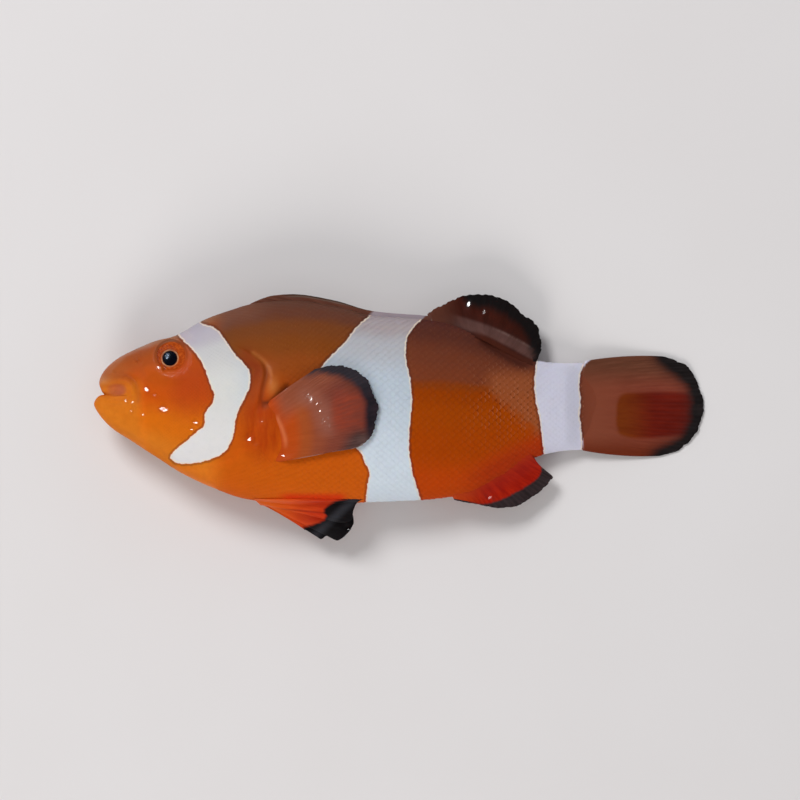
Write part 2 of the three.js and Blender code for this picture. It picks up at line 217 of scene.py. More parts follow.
# The white bars, each with its front edge and then its rear edge.
HEAD_BAR = np.vstack([
    line([
        (-34.2, 14), (-32.4, 11.8), (-30.9, 10.3), (-29.2, 8.2), (-28.4, 6.5), (-27.8, 4.8), (-27.3, 3.5),
        (-27.3, 2.3), (-28.45, 0.6), (-28.7, -1.3), (-29.4, -1.9), (-30.9, -3.2), (-32.4, -4.4),
        (-33.3, -5.2), (-33.8, -6.1),
    ], 90),
    line([
        (-33.1, -6.75), (-31.4, -7.0), (-29.2, -6.7), (-27.2, -6.1), (-25.5, -5.05), (-24.6, -3.3),
        (-24.2, -1.8), (-23.9, 0.1), (-23.1, 1.9), (-22.1, 4.0), (-21.9, 5.7), (-22.2, 7.2), (-24.1, 9.2),
        (-26.0, 11.9), (-27.3, 13.2), (-29.5, 14.1), (-32, 17),
    ], 90),
])
MIDDLE_BAR = np.vstack([
    line([
        (-1.5, 18), (-4.2, 15.2), (-6.4, 13.1), (-8.1, 10.9), (-9.6, 9.4), (-11.1, 7.8), (-12.8, 5),
        (-13, 2), (-11.4, -0.8), (-8.6, -2.9), (-5.8, -5.1), (-5.2, -6.3), (-4.4, -8.3), (-4.7, -10.0),
        (-4.9, -12.4), (-5, -15),
    ], 90),
    line([
        (3.9, -15), (3.2, -12.2), (2.7, -10.5), (1.95, -8.0), (1.5, -4.3), (1.7, -0.7), (1.95, 2.5),
        (1.7, 5.5), (1.1, 8.4), (1.2, 11.4), (2.2, 13.1), (3.9, 14.9), (6.4, 18),
    ], 90),
])
TAIL_BAR = np.vstack([
    line([
        (20.6, 10), (20.2, 7.0), (20.0, 4.7), (20.3, 2.1), (20.8, -0.3), (21.1, -2.9), (21.4, -5.0),
        (21.6, -8),
    ], 60),
    line([
        (27.3, -8), (27.2, -4.9), (27.1, -1.5), (26.8, 0), (27.0, 2.2), (26.8, 4.3), (26.9, 6.0),
        (27.2, 7.1), (27.8, 7.9), (28.6, 8.5), (30, 9.4),
    ], 60),
])
# The inner edges of the fins' black margins.
TAIL_BLACK = line([
    (37.4, 10), (38.2, 8.5), (39.5, 7.2), (41.0, 6.0), (42.2, 5.1), (43.0, 3.9), (43.35, 2.2), (43.2, 0.5),
    (43, -1.0), (42, -2.75), (40.5, -3.8), (38.8, -4.6), (37.6, -5.6), (36.8, -7),
])
BACK_BLACK = line([
    (8.6, 18.8), (9.8, 16.8), (11.3, 16.3), (13.4, 16.1), (15.0, 15.3), (16.3, 14.4), (17.5, 13.5),
    (18.4, 12.4), (19.1, 11.1), (19.7, 9.0),
], 40)
ANAL_BLACK = line([
    (21.2, -7.4), (21.0, -8.4), (20.5, -9.2), (18.9, -10.35), (16.9, -11.5), (15, -12.4), (12.7, -12.95),
    (10.5, -12.6),
], 30)
BREAST_BLACK = line([
    (-13.6, 5.6), (-12.2, 6.3), (-11.3, 6.35), (-9.5, 6.0), (-8.0, 5.6), (-6.7, 5.0), (-6.0, 3.9),
    (-5.4, 2.8), (-5.1, 1.5), (-5.2, -0.4), (-4.9, -2.0), (-4.4, -3.2), (-3.6, -4.4),
], 40)
BELLY_BLACK = line([
    (-4.2, -11.9), (-6.5, -11.95), (-8.6, -12.2), (-10.2, -12.9), (-11.1, -13.8), (-10.9, -14.9),
    (-12.2, -15.9), (-14.0, -16.4), (-15.5, -16.9),
], 40)
# The tail fin's red patch, the back fin's pale band, partly painted sheen, and the arc of painted sheen and
# glints over the breast fin.
TAIL_PATCH = line([
    (32.3, 0.5), (32.5, 2.4), (33.5, 3.4), (36, 3.6), (40, 3.6), (43.2, 3.2), (43.8, 0.5), (43.4, -2.4),
    (40, -3.0), (36, -3.2), (33.4, -2.9), (32.4, -1.8), (32.3, 0.4),
])
BACK_BAND = line([
    (6.4, 14.7), (9.5, 13.8), (12.5, 12.85), (15, 11.85), (17.2, 10.75), (19, 9.75), (21, 8.5),
], 30)
PAINTED_SHEEN_ARC = line([(-13.4, 2.9), (-12.5, 2.4), (-11.7, 1.8), (-11.3, 0.8), (-10.9, -0.4), (-10.6, -1.4)], 30)

# Where the lamp that shows only in gloss stands, in metres.
SPARK_LAMP = (-0.33, 0.24, 0.62)
# Wet pores of the cheek, the gill cover and the fins: x, y, radius.
PORES = (
    (-37.2, 4.0, 0.55), (-34.7, 1.05, 0.85), (-30.0, -0.9, 0.42), (-30.5, -1.9, 0.30), (-40.4, 2.3, 0.32),
    (-39.3, 2.1, 0.36), (-39.5, 0.8, 0.30), (-36.0, 3.1, 0.26), (-37.7, 0.3, 0.30), (-22.0, -3.3, 0.75),
    (-21.1, -4.1, 0.50), (-20.2, -0.7, 0.45), (-17.1, -5.7, 0.36), (-35.4, 7.25, 0.26), (-34.5, 7.15, 0.24),
    (10.3, 16.7, 0.90), (12.6, 15.5, 0.42), (13.5, -12.0, 0.45), (-7.4, -16.6, 0.50), (-12.9, 2.6, 0.42),
    (-12.1, 1.9, 0.28), (-11.6, 0.9, 0.32), (-10.9, -0.7, 0.26), (-13.3, 3.3, 0.26),
)


def wet_facets(points, upper, find_normals, widest_core):
    """Tilts a small facet at each wet pore until it throws the spark lamp's light straight up.

    Each time round, the tilt that is missing is measured over the facet's core and added to the facet.
    """
    times, reach, fewest = 4, 2.2, 12  # reach in radii, fewest in points
    for _ in range(times):
        normals = find_normals(points)
        for at, up, radius in PORES:
            gap = np.hypot(points[..., 0] - at, points[..., 1] - up)
            near = upper & (gap < reach * radius)
            if np.count_nonzero(near) < fewest:
                continue
            place, core = points[near], bell(gap[near], min(0.4 * radius, widest_core))[:, None]
            facing = (normals[near] * core).sum(0)
            to_lamp = np.array(SPARK_LAMP) / MM - (place * core).sum(0) / core.sum()
            half_way = to_lamp / np.linalg.norm(to_lamp) + (0, 0, 1)
            turn = facing[:2] / facing[2] - half_way[:2] / half_way[2]
            points[near, 2] += ((place[:, :2] - (at, up)) @ turn) * bell(gap[near], radius)
    return points


def sheet_normals(points):
    """Upward normals of a grid of points."""
    normal = np.cross(np.gradient(points, axis=0), np.gradient(points, axis=1))
    normal *= np.sign(normal[..., 2:] + 1e-9)
    return normal / np.maximum(np.linalg.norm(normal, axis=-1, keepdims=True), 1e-9)


def wetness(x, y):
    """1 on the pores, where the wet film stands, less along the top of the head, and 0 between them."""
    film = 1.6 * sum(bell(np.hypot(x - at, y - up), 0.62 * radius) for at, up, radius in PORES)
    from_eye = np.hypot(x - EYE_PLACE[0], y - EYE_PLACE[1])
    crown = 0.35 * ease((height_share(x, y) - 0.8) / 0.15)
    crown = crown * ease((-27 - x) / 4) * ease((from_eye - 2.5) / 0.5)
    return np.clip(film + crown, 0, 1)


def middle_plane(x):
    """Height of the fish's middle plane, which droops to the ground towards the tail."""
    return FLANK_HEIGHT - (FLANK_HEIGHT - FIN_LEVEL) * ease((x - DROOP_FROM) / (DROOP_TO - DROOP_FROM))


def body_surface(station, angle, grown):
    """Points of the plain body. The angle starts at the back and turns over the left side."""
    cos, sin = np.cos(angle), np.sin(angle)
    edge = np.where((cos >= 0)[..., None], BACK_LINE(station), BELLY_LINE(station))
    flank = FLANK_LINE(station)
    power = 2 / flank[..., 3]
    x = flank[..., 0] + (edge[..., 0] - flank[..., 0]) * cos**2
    y = flank[..., 1] + (edge[..., 1] + np.sign(cos) * grown - flank[..., 1]) * np.abs(cos) ** power
    z = (flank[..., 2] + grown) * np.sign(sin) * np.abs(sin) ** power
    return np.stack([x, y, middle_plane(x) + z], -1)


def height_share(x, y):
    """Where a place lies between the flank line, 0, and the back, 1, or the belly, -1."""
    station = x + STATION_ZERO
    flank = FLANK_LINE(station)[..., 1]
    edge = np.where(y > flank, BACK_LINE(station)[..., 1], BELLY_LINE(station)[..., 1])
    return (y - flank) / np.abs(edge - flank)


def flank_rise(x, y):
    """How far the left flank stands over the middle plane, behind the head."""
    width, square = FLANK_LINE(x + STATION_ZERO)[..., 2], FLANK_LINE(x + STATION_ZERO)[..., 3]
    share = np.minimum(np.abs(height_share(x, y)), 1)
    return width * (1 - share**square) ** (1 / square)


def bar_depth(x, y):
    """Distance to the nearest edge of a white bar, positive inside it."""
    return np.maximum.reduce([depth_inside(x, y, bar) for bar in (HEAD_BAR, MIDDLE_BAR, TAIL_BAR)])


def oval(x, y, middle, radii, power=2.0):
    """1 on the rim of an oval, less inside it."""
    across, up = np.abs((x - middle[0]) / radii[0]), np.abs((y - middle[1]) / radii[1])
    return (across**power + up**power) ** (1 / power)


# The mouth's recess, as an oval.
MOUTH_POCKET = dict(middle=(-41.75, 3.95), radii=(1.6, 1.0), power=2.4)


def relief(x, y):
    """How far the skin stands out from the plain body, from the head's features and the fins' bases."""
    def groove(path, depth, width, fade=0.15):
        gap, along = signed_distance(x, y, path)
        return -depth * bell(gap, width) * ease(along / fade) * ease((1 - along) / fade)

    # The mouth's pocket, the fold round it, and the creases of jaw, lip and chin.
    pocket = oval(x, y, **MOUTH_POCKET)
    out = -0.5 * (1 - ease((pocket - 0.3) / 0.8))
    out += 0.16 * bell(pocket - 1.5, 0.38) * ease((y - 3.0) / 0.9)
    out += groove(JAW_CREASE, 0.16, 0.42, 0.3) + 0.14 * bell(signed_distance(x, y, JAW_CREASE)[0] + 0.8, 0.5)
    out += groove(LIP_CREASE, 0.08, 0.35) + groove(CHIN_CREASE, 0.06, 0.4)
    out += groove(CHEEK_EDGE, 0.05, 0.6, 0.25)
    # The nostril, with a raised rim.
    nostril = np.hypot(x - NOSTRIL[0], y - NOSTRIL[1])
    out += 0.08 * bell(nostril - 0.45, 0.25) - 0.22 * bell(nostril, 0.26)
    # The gill cover's raised rear edge, and the slit behind it.
    gill, along = signed_distance(x, y, GILL_EDGE)
    fade = ease(along / 0.18) * (0.2 + 0.8 * ease((0.62 - along) / 0.2)) * ease((1 - along) / 0.2)
    behind = ease((gill + 0.22) / 0.44)
    out += fade * ((1 - behind) * 0.14 * bell(gill, 1.1) - behind * 0.34 * np.exp(-np.maximum(gill, 0) / 1.0))
    # The shoulder's knob, its fold, and the swelling and crease at the breast fin's root.
    out += 0.42 * bell(oval(x, y, (-18.6, 4.7), (1.25, 1.9)), 1)
    out += 0.04 * bell(signed_distance(x, y, SHOULDER_FOLD)[0], 0.4)
    out += 0.35 * bell(oval(x, y, (-19.4, -2.2), (1.7, 3.8)), 1)
    out += groove(SHOULDER_CREASE, 0.2, 0.45)
    out += groove(BACK_FIN_GROOVE, 0.2, 0.5, 0.35) + groove(ANAL_FIN_GROOVE, 0.12, 0.6, 0.3)
    # The flesh's slight unevenness.
    ripple = np.sin(x * 0.9 + 1.3 * np.sin(y * 0.35)) * np.sin(y * 0.7 + 0.8 * np.sin(x * 0.4))
    return out + 0.03 * ripple


def crease_shade(x, y):
    """1 in the deep folds, where little light gets in."""
    def along(path, width, strength):
        gap, share = signed_distance(x, y, path)
        return strength * bell(gap, width) * ease(share / 0.15) * ease((1 - share) / 0.15)

    gill, share = signed_distance(x, y, GILL_EDGE)
    slit = 0.4 * bell(gill - 0.25, 0.32) * ease((share - 0.2) / 0.15) * ease((0.62 - share) / 0.12)
    from_eye = np.hypot(x - EYE_PLACE[0], y - EYE_PLACE[1])
    upward = (y - EYE_PLACE[1]) / np.maximum(from_eye, 0.1)
    orbit_shade = bell(from_eye - 2.32, 0.2) * (0.3 + 0.3 * upward)
    return np.maximum.reduce([
        slit,
        along(JAW_CREASE, 0.4, 0.2),
        along(SHOULDER_CREASE, 0.45, 0.95),
        along(BACK_FIN_GROOVE, 0.6, 0.9),
        orbit_shade,
    ])


# Where each breast fin leaves the body, and the free edge of the one under the flank.
BREAST_ROOT = [(-20, 1.6), (-19, -1), (-18.7, -4), (-19.2, -6.9)]
RIGHT_BREAST_EDGE = [(-9, 4.2), (-6, 3.6), (-4.2, 1.4), (-4, -1.4), (-5.4, -3.6), (-8, -4.6)]


def bed_height(x, y):
    """The lowest the skin lies: the ground, or the top of the breast fin pressed under the flank."""
    outline = np.vstack([line(BREAST_ROOT, 20), line(RIGHT_BREAST_EDGE[::-1], 40)])
    return CLEARANCE + 0.55 * ease((depth_inside(x, y, outline) + 0.35) / 0.35)


def normals_of(grid):
    """Outward normals of a grid of rings."""
    along = np.gradient(grid, axis=0)
    around = np.roll(grid, -1, 1) - np.roll(grid, 1, 1)
    normal = np.cross(around, along)
    return normal / np.maximum(np.linalg.norm(normal, axis=-1, keepdims=True), 1e-9)


def skin_grid(stations, angles, sunk):
    """The finished skin as rings of points, with its normals. It lies sunk inside the solids."""
    station, angle = np.meshgrid(stations, angles, indexing="ij")
    side = np.sign(np.sin(angle))
    plain = body_surface(station, angle, -sunk)
    # The tail's stalk thins to a wedge inside the tail fin's root.
    wedge_from, thinned = 70.5, 0.75
    thin = 1 - thinned * ease((station - wedge_from) / (TAIL_STATION - wedge_from))
    level = middle_plane(plain[..., 0])
    plain[..., 2] = level + (plain[..., 2] - level) * thin
    normal = normals_of(plain)
    x, y = plain[..., 0], plain[..., 1]
    out = plain + normal * (relief(x, y) * ease(station / 0.8))[..., None]
    lip = 0.1 * bell(station - 0.75, 0.5)
    out += normal * lip[..., None]
    # The fold round the eye, highest over it, and the hollow that the eye sits in.
    away_x, away_y = x - EYE_PLACE[0], y - EYE_PLACE[1]
    from_eye = np.hypot(away_x, away_y)
    brow = 0.6 + 0.4 * away_y / np.maximum(from_eye, 0.1)
    orbit = EYE_RIM + brow * (0.07 * bell(from_eye - 2.65, 0.35) - 0.1 * bell(from_eye - 2.26, 0.15))
    orbit = orbit - 1.1 * ease((2.12 - from_eye) / 0.4) + EYE_LEAN[0] * away_x + EYE_LEAN[1] * away_y
    share = 1 - ease((from_eye - 2.45) / 2.2)
    out[..., 2] += share * (level + side * orbit - out[..., 2])
    # Flesh flattens softly where it bears on the ground or on the breast fin.
    bed, soft, firm = bed_height(out[..., 0], out[..., 1]), 0.3, 1.2
    low = out[..., 2] - bed
    pressed = soft + soft * np.tanh(np.minimum(low - soft, soft) / soft * firm) / np.tanh(firm)
    out[..., 2] = bed + np.where(low > 2 * soft, low, pressed)
    out[..., 2] = np.maximum(out[..., 2], CLEARANCE)
    out = wet_facets(out, np.sin(angle) > 0, normals_of, 0.4)
    return out, normals_of(out)


# ---------------------------------------------------------------- meshes
def rings_to_faces(rings, around):
    """Faces between rings of points, each ring closed on itself."""
    i, k = np.meshgrid(np.arange(rings - 1), np.arange(around), indexing="ij")
    a, b = i * around + k, i * around + (k + 1) % around
    return np.stack([a, b, b + around, a + around], -1).reshape(-1, 4).tolist()


def sheet_faces(along, out):
    """Faces of a closed sheet: its upper points come first, then its lower ones, both in rows of out."""
    i, j = np.meshgrid(np.arange(along - 1), np.arange(out - 1), indexing="ij")
    a = (i * out + j).reshape(-1)
    upper = np.stack([a, a + out, a + out + 1, a + 1], -1)
    count = along * out
    lower = np.stack([a, a + 1, a + out + 1, a + out], -1) + count
    rim = np.concatenate([
        np.arange(out),
        np.arange(1, along) * out + out - 1,
        (along - 1) * out + np.arange(out - 2, -1, -1),
        np.arange(along - 2, 0, -1) * out,
    ])
    after = np.roll(rim, -1)
    wall = np.stack([rim, after, after + count, rim + count], -1)
    return np.vstack([upper, lower, wall]).tolist()


def add_piece(name, points, faces, material, replaces=(), values=None):
    """Makes a mesh in millimetres into a piece of the fish that rides on its one body.

    values holds the numbers that its material reads at each point.
    """
    mesh = bpy.data.meshes.new(name)
    mesh.from_pydata((np.asarray(points) * MM).tolist(), [], faces)
    if mesh.validate():
        raise RuntimeError(f"{name} has faulty faces")
    for label, numbers in (values or {}).items():
        layer = mesh.attributes.new(label, "FLOAT", "POINT")
        layer.data.foreach_set("value", np.asarray(numbers, np.float32).ravel())
    mesh.materials.append(material)
    mesh.shade_smooth()
    piece = bpy.data.objects.new(name, mesh)
    bpy.context.scene.collection.objects.link(piece)
    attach(piece, BODY)
    if replaces:
        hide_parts(*replaces)
    return piece


# ---------------------------------------------------------------- materials
FULL_TURN = 6.2832


class Wiring:
    """Short ways to place and join shader nodes in one tree."""

    def __init__(self, tree):
        self.tree = tree

    def add(self, kind, **settings):
        """Places a node."""
        node = self.tree.nodes.new(kind)
        for key, value in settings.items():
            setattr(node, key, value)
        return node

    def put(self, socket, value):
        """Joins an output to a socket, or sets the socket to a number or a colour."""
        if isinstance(value, bpy.types.NodeSocket):
            self.tree.links.new(value, socket)
        elif socket.type == "RGBA" and len(value) == 3:
            socket.default_value = (*value, 1)
        else:
            socket.default_value = value

    def math(self, operation, a, b=0.0, clamp=False):
        node = self.add("ShaderNodeMath", operation=operation, use_clamp=clamp)
        self.put(node.inputs[0], a)
        self.put(node.inputs[1], b)
        return node.outputs[0]

    def plus(self, a, b, clamp=False):
        return self.math("ADD", a, b, clamp)

    def minus(self, a, b):
        return self.math("SUBTRACT", a, b)

    def times(self, *values):
        out = values[0]
        for value in values[1:]:
            out = self.math("MULTIPLY", out, value)
        return out

    def less(self, value):
        """One minus a value."""
        return self.minus(1.0, value)

    def step(self, value, low, high):
        """A soft step from 0 at low to 1 at high."""
        node = self.add("ShaderNodeMapRange", interpolation_type="SMOOTHSTEP")
        for name, number in (("From Min", low), ("From Max", high), ("To Min", 0.0), ("To Max", 1.0)):
            node.inputs[name].default_value = number
        self.put(node.inputs["Value"], value)
        return node.outputs[0]

    def fall(self, value, low, high):
        """A soft step from 1 at low to 0 at high."""
        return self.less(self.step(value, low, high))

    def hump(self, value, middle, width):
        """1 at the middle, falling softly to 0 a width away on either side."""
        return self.fall(self.math("ABSOLUTE", self.minus(value, middle)), 0.0, width)

    def mix(self, share, a, b, blend="MIX"):
        node = self.add("ShaderNodeMix", data_type="RGBA", blend_type=blend)
        self.put(node.inputs[0], share)
        self.put(node.inputs[6], a)
        self.put(node.inputs[7], b)
        return node.outputs[2]

    def ramp(self, value, stops):
        """A colour ramp through stops of (place from 0 to 1, colour)."""
        node = self.add("ShaderNodeValToRGB")
        node.color_ramp.interpolation = "EASE"
        elements = node.color_ramp.elements
        while len(elements) < len(stops):
            elements.new(0.5)
        for element, (place, colour) in zip(elements, stops):
            element.position = place
            element.color = (*colour, 1)
        self.put(node.inputs[0], value)
        return node.outputs[0]

    def attribute(self, name):
        """A number that the mesh carries at each point."""
        return self.add("ShaderNodeAttribute", attribute_name=name).outputs["Fac"]

    def place(self):
        """X and Y on the fish, in millimetres, and the position itself."""
        coordinates = self.add("ShaderNodeTexCoord").outputs["Object"]
        scaled = self.add("ShaderNodeVectorMath", operation="SCALE")
        self.tree.links.new(coordinates, scaled.inputs[0])
        scaled.inputs["Scale"].default_value = 1 / MM
        parts = self.add("ShaderNodeSeparateXYZ")
        self.tree.links.new(scaled.outputs[0], parts.inputs[0])
        return parts.outputs[0], parts.outputs[1], scaled.outputs[0]

    def noise(self, vector, scale, detail=3.0, roughness=0.55):
        node = self.add("ShaderNodeTexNoise")
        self.put(node.inputs["Vector"], vector)
        for name, number in (("Scale", scale), ("Detail", detail), ("Roughness", roughness)):
            node.inputs[name].default_value = number
        return node.outputs["Fac"]

    def bump(self, height, strength, distance):
        node = self.add("ShaderNodeBump")
        node.inputs["Strength"].default_value = strength
        node.inputs["Distance"].default_value = distance
        self.put(node.inputs["Height"], height)
        return node.outputs["Normal"]


def new_group(name, inputs, outputs):
    """A shader node group with named number inputs and with named outputs of (name, kind)."""
    tree = bpy.data.node_groups.new(name, "ShaderNodeTree")
    for label in inputs:
        tree.interface.new_socket(name=label, in_out="INPUT", socket_type="NodeSocketFloat")
    for label, kind in outputs:
        tree.interface.new_socket(name=label, in_out="OUTPUT", socket_type=kind)
    wiring = Wiring(tree)
    return tree, wiring, wiring.add("NodeGroupInput").outputs, wiring.add("NodeGroupOutput")


def toned(colour, red, green, blue):
    """A colour with its channels weighed."""
    return (colour[0] * red, colour[1] * green, colour[2] * blue)


def markings_group(name):
    """The body's colours: orange below, brown above, white bars with cream edges, and red round the gills,
    with painted shade in creases and painted sheen and highlights on crown, nape and shoulder.
    """
    tree, w, given, end = new_group(name, ["Mottling", "Crease Depth"], [
        ("Color", "NodeSocketColor"), ("White", "NodeSocketFloat"), ("Texture", "NodeSocketFloat"),
    ])
    colours = bpy.context.scene.clownfish_colours
    orange, brown, white_skin = colours.body_orange, colours.back_brown, colours.bar_white
    x, y, position = w.place()
    share = w.plus(w.math("MULTIPLY", w.attribute("height"), 0.5), 0.5)
    wander = w.minus(w.noise(position, 0.32, 2.0), 0.5)
    share = w.plus(share, w.times(wander, 0.045))

    # The head, from throat to crown, with its red cheek, its brown snout and its paler lip and jaws.
    # Its top stops, greyer and bluer, are painted sheen along the crown.
    head = w.ramp(share, [
        (0.0, toned(orange, 1.10, 1.65, 1.6)), (0.12, toned(orange, 1.12, 1.80, 2.4)),
        (0.32, toned(orange, 1.10, 1.42, 0.9)), (0.55, toned(orange, 0.93, 0.80, 0.55)),
        (0.72, toned(orange, 0.78, 0.76, 0.9)), (0.84, toned(orange, 0.62, 0.72, 2.2)),
        (0.93, toned(orange, 0.54, 0.72, 3.2)), (1.0, toned(orange, 0.52, 1.4, 14.0)),
    ])
    red_cheek = w.times(w.step(x, -35.0, -31.5), w.hump(y, 5.2, 7.0))
    head = w.mix(w.times(red_cheek, 0.8), head, toned(orange, 0.74, 0.50, 0.9))
    snout = w.times(w.fall(x, -43.2, -38.0), w.step(y, 3.6, 5.6))
    head = w.mix(w.times(snout, 0.85), head, toned(orange, 0.66, 1.02, 4.2))
    lip = w.times(w.hump(x, -43.7, 1.5), w.hump(y, 5.3, 1.1))
    head = w.mix(w.times(lip, 0.75), head, toned(orange, 0.74, 1.95, 16.0))
    jaws = w.times(w.fall(x, -39.2, -37.0), w.fall(y, 4.0, 6.2))
    head = w.mix(w.times(jaws, 0.8), head, toned(orange, 0.98, 1.70, 2.2))
    # Behind the head bar, from belly to back.
    front = w.ramp(share, [
        (0.0, toned(orange, 1.08, 1.10, 1.2)), (0.14, toned(orange, 0.97, 1.02, 0.8)),
        (0.35, toned(orange, 0.94, 0.95, 0.7)), (0.55, toned(orange, 0.72, 0.72, 0.8)),
        (0.68, toned(orange, 0.47, 0.60, 1.2)), (0.78, toned(orange, 0.36, 0.54, 1.2)),
        (0.87, toned(orange, 0.31, 0.53, 2.5)), (0.935, toned(brown, 1.06, 1.16, 1.25)),
        (1.0, toned(brown, 0.90, 1.2, 1.5)),
    ])
    # The nape's paler, greyer brown: partly its own colour, partly painted sheen.
    nape = w.times(w.fall(x, -24.0, -17.0), w.step(share, 0.86, 0.96))
    front = w.mix(nape, front, toned(brown, 1.44, 1.80, 2.1))
    # Behind the middle bar, with a paler patch under the back fin and a red base over the anal fin.
    rear = w.ramp(share, [
        (0.0, toned(orange, 0.85, 0.58, 0.7)), (0.08, toned(orange, 0.84, 0.56, 0.5)),
        (0.26, toned(orange, 0.66, 0.54, 0.08)), (0.45, toned(orange, 0.61, 0.56, 0.04)),
        (0.575, toned(orange, 0.52, 0.47, 0.06)), (0.62, toned(orange, 0.42, 0.45, 0.8)),
        (0.665, toned(brown, 1.55, 1.12, 0.80)), (0.78, toned(brown, 1.32, 1.05, 0.9)),
        (0.93, toned(brown, 0.78, 0.70, 0.85)), (1.0, toned(brown, 0.66, 0.62, 0.95)),
    ])
    slant = w.plus(w.times(x, 0.677), w.times(y, 0.736))
    slant = w.plus(slant, w.times(w.minus(w.noise(position, 0.8, 2.0), 0.5), 3.2))
    behind = w.times(w.step(slant, 11.1, 13.1), w.step(x, 11.5, 15.0), w.fall(y, 5.0, 8.0))
    rear = w.mix(w.times(behind, 0.8), rear, toned(brown, 2.6, 2.25, 1.4))
    red_base = w.times(w.step(x, 7.0, 15.0), w.fall(w.plus(y, w.times(x, -0.5)), -15.2, -11.2))
    rear = w.mix(w.times(red_base, 0.85), rear, toned(colours.fin_red, 1.36, 3.2, 2.2))
    # The three joined, then the tail's root and the red skin over the belly fin.
    base = w.mix(w.step(x, -29.0, -25.0), head, front)
    base = w.mix(w.step(x, -5.0, 3.0), base, rear)
    base = w.mix(w.step(x, 23.0, 26.0), base, tuple(colours.fin_brown))
    over_fin = w.times(w.fall(y, -11.9, -10.9), w.step(x, -18.5, -16.0), w.fall(x, -9.0, -7.0))
    base = w.mix(over_fin, base, toned(orange, 1.10, 0.42, 1.0))

    # The flush of the gill cover and the breast fin's root, the shoulder's golden knob and fold, partly
    # painted highlight, the mouth and soft mottling.
    gill_red = w.mix(w.step(y, 0.5, 8.0), toned(orange, 0.62, 0.60, 2.4), toned(orange, 0.40, 0.34, 1.0))
    red = w.mix(w.attribute("gill"), base, gill_red)
    upright = w.add("ShaderNodeCombineXYZ")
    w.put(upright.inputs[0], w.times(x, 1.5))
    w.put(upright.inputs[1], w.times(y, 0.3))
    patchy = w.plus(w.times(w.step(w.noise(upright.outputs[0], 1.0, 3.0), 0.36, 0.64), 0.28), 0.56)
    red = w.mix(w.times(w.attribute("flush"), patchy), red, toned(orange, 0.60, 0.36, 0.4))
    gold = w.mix(w.attribute("gold"), red, toned(orange, 0.80, 1.50, 6.0))
    mouth = w.mix(w.attribute("mouth"), gold, toned(orange, 0.74, 1.12, 9.0))
    cloud = w.noise(position, 1.1, 4.0)
    mottle = w.times(w.step(cloud, 0.35, 0.7), given["Mottling"])
    mottled = w.mix(mottle, mouth, toned(orange, 0.35, 0.4, 0.6))

    # The white bars, bluish towards the back, with a cream line inside their edges and a dark one outside.
    wobble = w.minus(w.noise(position, 1.35, 2.0), 0.5)
    depth = w.plus(w.attribute("bar"), w.times(wobble, 0.42))
    white = w.step(depth, -0.03, 0.07)
    # Darker and lilac towards the back: partly the bars' own dusky upper edge, partly painted shade.
    pale = w.ramp(share, [
        (0.0, toned(white_skin, 0.96, 1.04, 1.13)), (0.16, toned(white_skin, 0.93, 1.01, 1.10)),
        (0.62, toned(white_skin, 0.75, 0.835, 0.93)), (0.82, toned(white_skin, 0.69, 0.68, 0.72)),
        (0.93, toned(white_skin, 0.60, 0.51, 0.52)), (1.0, toned(white_skin, 0.54, 0.45, 0.47)),
    ])
    pale = w.mix(w.fall(x, -26.0, -18.0), pale, w.ramp(share, [
        (0.0, toned(white_skin, 1.10, 1.05, 1.03)), (0.27, toned(white_skin, 1.10, 1.04, 1.0)),
        (0.6, toned(white_skin, 1.02, 0.98, 0.92)), (0.8, toned(white_skin, 0.88, 0.84, 0.82)),
        (0.885, toned(white_skin, 0.75, 0.67, 0.73)), (1.0, toned(white_skin, 0.66, 0.58, 0.66)),
    ]))
    pale = w.mix(w.step(x, 14.0, 20.0), pale, toned(white_skin, 0.99, 0.95, 1.10))
    pale = w.mix(w.times(w.step(cloud, 0.45, 0.75), 0.08), pale, toned(white_skin, 0.6, 0.62, 0.68))
    cream = w.hump(depth, 0.15, 0.17)
    pale = w.mix(w.times(cream, 0.75), pale, tuple(colours.band_edge))
    dark = w.times(w.hump(depth, -0.17, 0.26), 0.5)
    ground = w.mix(dark, mottled, toned(brown, 0.6, 0.5, 0.6))
    painted = w.mix(white, ground, pale)
    # Painted shade in the deep folds: the gill slit, jaw, shoulder, back fin's groove and round the eye.
    crease = w.times(w.attribute("crease"), given["Crease Depth"])
    painted = w.mix(crease, painted, toned(brown, 0.4, 0.28, 0.3))
    texture = w.plus(w.times(w.step(x, 8.0, 14.0), w.hump(y, 2.0, 8.5)), 0.16)
    for socket, value in zip(end.inputs, (painted, white, texture)):
        w.put(socket, value)
    return tree


def fin_rays_group(name):
    """A rayed fin's fine relief, and the uneven streaks that run out along its rays."""
    tree, w, given, end = new_group(name, ["Ray Height", "Grain", "Ray Shade"], [
        ("Height", "NodeSocketFloat"), ("Streak", "NodeSocketFloat"),
    ])
    position = w.place()[2]
    out, ray, across = w.attribute("out"), w.attribute("ray"), w.attribute("across")
    fan = w.add("ShaderNodeCombineXYZ")
    w.put(fan.inputs[0], across)
    w.put(fan.inputs[1], w.times(out, 0.16))
    broad = w.noise(fan.outputs[0], 1.1, 3.0, 0.65)
    fine = w.noise(fan.outputs[0], 3.6, 2.0)
    joints = w.times(w.math("SINE", w.times(out, 11.0)), ray, 0.12)
    rays = w.times(w.plus(ray, joints), given["Ray Height"])
    height = w.plus(rays, w.times(w.noise(position, 1.6, 3.0), given["Grain"]))
    streak = w.plus(w.times(broad, 0.88), w.plus(w.times(fine, 0.12), w.times(ray, given["Ray Shade"])))
    w.put(end.inputs[0], height)
    w.put(end.inputs[1], streak)
    return tree


